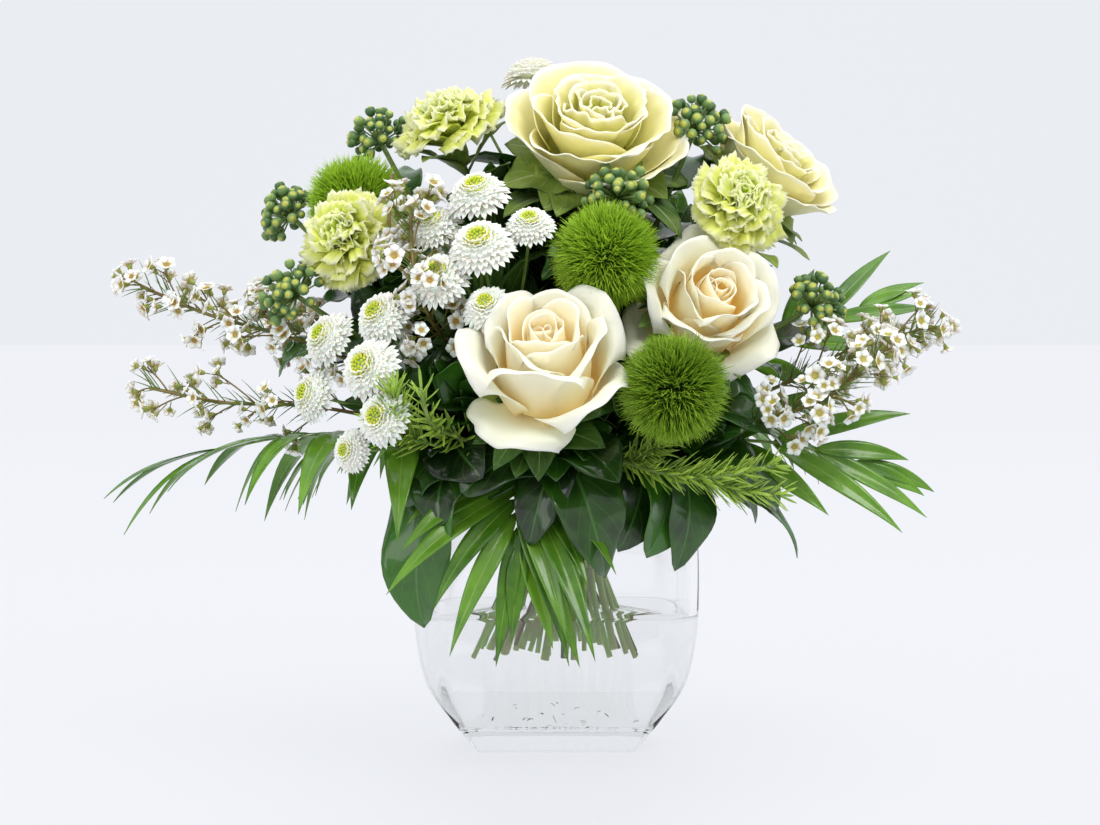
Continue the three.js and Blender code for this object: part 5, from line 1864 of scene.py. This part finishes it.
# %% Keeping leaves off the blooms
BLOOMS = [*ROSES.values(), *CABBAGES.values(), *CARNATIONS.values(), *BALLS.values()]
HEADS = np.array([head for _, heads in BUTTONS.values() for head in heads], dtype=float)
BLOOM_AT = np.concatenate([[b["at"] for b in BLOOMS], HEADS[:, :3]])
BLOOM_WAY = np.concatenate([[b["facing"] for b in BLOOMS], outward(HEADS[:, :3])])
BLOOM_RADIUS = np.concatenate([[b["radius"] for b in BLOOMS], HEADS[:, 3]])
# The half axes of the dome, within which leaves may reach.
DOME = (190, 165, 215)


def clear_of_blooms(points):
    """Which leaves (copies, points, 3) stay out of every bloom and out of the space before its face: a
    cylinder of three quarters of its radius that starts a little behind its middle."""
    off = points[:, :, None, :] - BLOOM_AT
    ahead = (off * BLOOM_WAY).sum(-1)
    aside = np.linalg.norm(off - ahead[..., None] * BLOOM_WAY, axis=-1)
    hit = (aside < 0.75 * BLOOM_RADIUS) & (ahead > -0.4 * BLOOM_RADIUS)
    return ~hit.any(axis=(1, 2))


print(len(BLOOM_AT), "blooms to keep clear")

# %% [markdown]
# ## Greenery between the heads
#
# Every leaf grows on a stem, turned outwards, more of them towards the head. Larger leaves fill the back
# and the crown, which hold fewer flowers.

# %% Leaves along the flower stems
STEM_LEAVES = dict(low=188.0, length=(34, 56), width=(17, 27), reach=0.9, stray=0.55)


def stem_leaves(name, count, seed, low, length, width, reach, stray):
    """Roots, tips, faces and widths of leaves on the part of a stem above the height `low`.

    They point outwards and stray from that by chance. Those past `reach` of the dome are left out.
    """
    dice = np.random.default_rng(seed)
    path = stem_paths[name]
    free = path[path[:, 2] > low]
    root = free[(dice.uniform(0, 1, count) ** 0.55 * (len(free) - 1)).astype(int)]
    way = unit(outward(root) * 0.9 + dice.normal(0, stray, root.shape) + 0.1 * UP)
    tip = root + way * dice.uniform(*length, count)[:, None]
    face = outward(tip) + 0.3 * UP + dice.normal(0, 0.25, root.shape)
    inside = np.linalg.norm((tip - DOME_CENTRE) / DOME, axis=1) < reach
    keep = inside & clear_of_blooms(arcs(root, mix(root, tip, 0.5) + unit(face) * 8, tip, 6))
    return root[keep], tip[keep], face[keep], dice.uniform(*width, count)[keep]


def node_of_stem(name):
    """The CAD node of a stem: blooms with petals have their stem as a node of its own."""
    petalled = name in ROSES or name in CABBAGES or name in CARNATIONS
    return name + "_stem" if petalled else name


def dress_stem_leaves(names, count, finish, slot, label, **changes):
    """A piece of leaves on each stem named, with what differs from the usual ones."""
    for seed, name in enumerate(names):
        root, tip, face, width = stem_leaves(name, count, 100 + seed, **{**STEM_LEAVES, **changes})
        dice = np.random.default_rng(seed)
        grids = leaves(root, tip, face, width, ovate, 0.1, 9, 7, dice, fold=0.14, wave=0.05)
        surface = Surface().grids(grids, dice.uniform(0, 0.6, len(root)))
        piece(f"{name}_{label}", surface, finish, [node_of_stem(name)], 0.4)


FLOWERS = [*ROSES, *CABBAGES, *CARNATIONS, *BALLS, *BUTTONS]
BACK = ["rose_back", "carnation_back", "dianthus_back", "chrysanthemum_top", "chrysanthemum_back"]
CROWN = ["chrysanthemum_top", "dianthus_back", "cabbage_top"]
LARGE = dict(low=220.0, length=(50, 76), width=(22, 34), reach=1.0)
HIGH = dict(low=270.0, length=(44, 66), width=(22, 32), stray=1.3)
dress_stem_leaves(FLOWERS, 44, foliage_look, "green_stem", "foliage")
dress_stem_leaves(IVIES, 30, ivy_look, "ivy_leaf", "foliage", low=176.0)
dress_stem_leaves(BACK, 40, foliage_look, "green_stem", "large_leaves", **LARGE)
dress_stem_leaves(CROWN, 50, foliage_look, "green_stem", "crown_leaves", **HIGH)

# %% [markdown]
# ## Pale leaves between certain heads
#
# Below the cabbages and beside the roses the photograph shows single lighter leaves, those of the cabbages
# and of the flowers themselves. They are placed one by one and share the cabbages' leaf finish.

# %% Pale leaves
# The stem that carries them, and each leaf's root, tip and width.
PALE_LEAVES = {
    "cabbage_right": [
        ((100, -20, 302), (142, -46, 300), 30),
        ((94, -18, 284), (126, -64, 284), 30),
        ((98, -20, 296), (150, -16, 290), 28),
        ((90, -16, 276), (110, -72, 292), 26),
    ],
    "cabbage_top": [
        ((8, -30, 318), (-30, -74, 312), 38),
        ((10, -34, 322), (0, -82, 312), 36),
        ((12, -30, 318), (54, -72, 316), 40),
        ((6, -28, 312), (-40, -48, 330), 34),
        ((24, -40, 318), (70, -86, 300), 34),
        ((20, -36, 312), (66, -62, 330), 32),
    ],
    "carnation_top": [
        ((-40, -24, 316), (-62, -60, 326), 24),
        ((-44, -26, 324), (-26, -58, 344), 24),
        ((-52, -30, 336), (-88, -40, 352), 24),
        ((-50, -30, 340), (-28, -36, 370), 22),
        ((-54, -32, 344), (-76, -64, 344), 24),
    ],
    "rose_right": [((60, -76, 226), (100, -120, 222), 24), ((64, -80, 236), (44, -126, 250), 22)],
    "rose_front": [((-4, -100, 206), (-44, -130, 210), 26)],
}


def dress_pale_leaves(name, spots, seed):
    """The pale leaves of one stem, each from the nearest point of it."""
    dice = np.random.default_rng(seed)
    near, tip, width = spots_of(spots)
    face = outward(mix(near, tip, 0.5)) + 0.3 * UP
    root = np.array([nearest_on_stem(name, point) for point in near])
    bends = dict(fold=0.14, wave=0.1, waves=2, twist=dice.uniform(-0.5, 0.5, len(root)))
    grids = leaves(root, tip, face, width, ovate, 0.12, 14, 11, dice, **bends)
    surface = Surface().grids(grids, dice.uniform(-0.2, 0.5, len(root)))
    piece(name + "_leaves", surface, brassica_look, [name + "_stem"], 0.45)


for seed, (name, spots) in enumerate(PALE_LEAVES.items()):
    dress_pale_leaves(name, spots, seed)

# %% [markdown]
# ## Twine
#
# The tie is two-ply twine wound six times round the bundle. Its two plies turn round each other as they go
# round the stems, which a real cord does too, and a bump of fine noise makes its fibres.

# %% The tie
TIE_RADIUS, TIE_TURNS, TIE_HEIGHT = 20.9, 6, 7.6
PLY_OFFSET, PLY_RADIUS, PLY_TURNS = 0.42, 0.52, 10


def ply_line(start):
    """One ply's middle: a helix round the bundle, plus a small circle that turns ten times as fast."""
    turn = np.linspace(0, 2 * np.pi * TIE_TURNS, 800)
    out = TIE_RADIUS + PLY_OFFSET * np.cos(turn * PLY_TURNS + start)
    climb = WAIST - TIE_HEIGHT / 2 + TIE_HEIGHT * turn / turn[-1]
    height = climb + PLY_OFFSET * np.sin(turn * PLY_TURNS + start)
    return np.stack([out * np.cos(turn), out * np.sin(turn), height], -1)


twine_look = Finish("twine", roughness=0.85)
fibre = twine_look.noise(900.0)
twine_look.set("Base Color", twine_look.mix(fibre, paint("8f7346"), paint("d8bf8e")))
twine_look.bump(fibre, 0.5)
plies = Surface().rods(np.array([ply_line(0), ply_line(np.pi)]), PLY_RADIUS, 6)
piece("twine_tie", plies, twine_look, ["twine"])
print("the twine is", round(2 * np.pi * TIE_RADIUS * TIE_TURNS), "mm long")

# %% [markdown]
# ## Specks on the vase's floor
#
# Bits of leaf come off the stems and sink. They are tiny leaves at chance places, most of them on the floor
# and some still afloat over it, and they show how clear the water is.

# %% Specks
SPECKS, SPECK_FLOOR, AFLOAT = 70, 15.0, 0.3


def specks():
    """Tiny leaves, thickest in the middle of the floor: 0.5 to 2.2 mm to each side of their places."""
    dice = np.random.default_rng(5)
    at = np.full((SPECKS, 3), SPECK_FLOOR)
    at[:, 0] = dice.normal(0, 22, SPECKS).clip(-48, 48)
    at[:, 1] = dice.uniform(-26, 26, SPECKS)
    afloat = dice.uniform(0, 1, SPECKS) < AFLOAT
    at[:, 2] += afloat * dice.uniform(0, 16, SPECKS)
    way = unit(dice.normal(size=(SPECKS, 3)) * (1, 1, 0.3))
    size = dice.uniform(0.5, 2.2, SPECKS)[:, None]
    grids = leaves(at - way * size, at + way * size, UP, size[:, 0] * 0.9, ovate, 0.1, 4, 3)
    return Surface().grids(grids, dice.uniform(0, 1, SPECKS))


piece("specks", specks(), foliage_look, [], 0.2)

# %% [markdown]
# ## Table and backdrop
#
# The photograph was taken on a white sheet before a white wall, both lit so evenly that they hardly show.
# A plain white floor would get grey with distance here, so the sheet and the wall shine a little by
# themselves, and only the rest of their brightness comes from the lights. They are stage, not part.

# %% Table and backdrop
STAGE_HALF_WIDTH = 6000.0


def stage_sheet(name, rows, glow):
    """A wide sheet through rows of y and z: dark under the lights, with a glow of its own."""
    finish = Finish(name, base_color=paint("4c4c50"), roughness=0.6)
    finish.set("Emission Color", paint(glow))
    finish.set("Emission Strength", 1.0)
    y, z = np.array(rows, dtype=float).T[:, :, None]
    x = STAGE_HALF_WIDTH * np.linspace(1, -1, 3)
    points = np.stack(np.broadcast_arrays(x, y, z), -1)
    object_from(name, Surface().grids(points), finish)
    print(name, len(rows), "rows")


stage_sheet("table_cover", [(-4000, 0), (900, 0), (1600, 20), (2300, 80), (3000, 216)], "dcdee3")
stage_sheet("backdrop", [(3000, 214), (3050, 1500), (3050, 9000)], "dfe2e6")

# %% [markdown]
# ## Light
#
# The light is soft and comes from all over, as in a room with white walls: a world that is brighter above
# and behind, which also gives the glass its bright edges, and three large area lights in front.


# %% World and lights
def soft_light(name, at, aim, size, power, colour=(1, 1, 1)):
    """A square area light that looks at a point, in metres and watts."""
    lamp = bpy.data.lights.new(name, "AREA")
    lamp.size, lamp.energy, lamp.color = size, power, colour
    made = bpy.data.objects.new(name, lamp)
    made.location = at
    made.rotation_euler = (Vector(aim) - Vector(at)).to_track_quat("-Z", "Y").to_euler()
    bpy.context.scene.collection.objects.link(made)
    print(name, power, "W")


def light_world():
    """A world of strength 0.72 + 0.6 z + 0.3 y, and 0.3 at least, by the direction (x, y, z)."""
    world = bpy.context.scene.world or bpy.data.worlds.new("studio")
    bpy.context.scene.world = world
    world.use_nodes = True
    tree = world.node_tree
    background = tree.nodes["Background"]
    background.inputs["Color"].default_value = (*paint("f7f7f8"), 1)
    direction = tree.nodes.new("ShaderNodeTexCoord")
    parts = tree.nodes.new("ShaderNodeSeparateXYZ")
    tree.links.new(direction.outputs["Generated"], parts.inputs[0])
    behind, above = (Value(tree, parts.outputs[axis]) for axis in ("Y", "Z"))
    strength = (0.72 + above * 0.6 + behind * 0.3).math("MAXIMUM", 0.3)
    tree.links.new(strength.socket, background.inputs["Strength"])


light_world()
bpy.context.scene.view_settings.view_transform = "Standard"
soft_light("key", (0.8, -1.3, 1.7), (0, 0, 0.25), 0.9, 17, (1, 1, 0.96))
soft_light("top", (0.1, -0.5, 1.9), (0, -0.05, 0.2), 1.4, 7)
soft_light("fill", (-1.2, -1.3, 0.8), (0, 0, 0.25), 1.0, 6, (0.97, 0.98, 1))

# %% [markdown]
# ## Camera and finish
#
# The camera stands 1.3 m in front, level with the middle of the bouquet, and looks down by two degrees.
# The last lines print how far away the camera stands.

# %% Camera and finish
LOOKS_DOWN = 2.233
camera = bpy.data.objects.new("camera", bpy.data.cameras.new("camera"))
camera.data.lens, camera.data.sensor_width = 70.9, 36
camera.location = (-0.0036, -1.3, 0.25)
camera.rotation_euler = (np.radians(90 - LOOKS_DOWN), 0, 0)
bpy.context.scene.collection.objects.link(camera)
bpy.context.scene.camera = camera
print("camera", round(float(np.linalg.norm(camera.location)), 2), "m away")
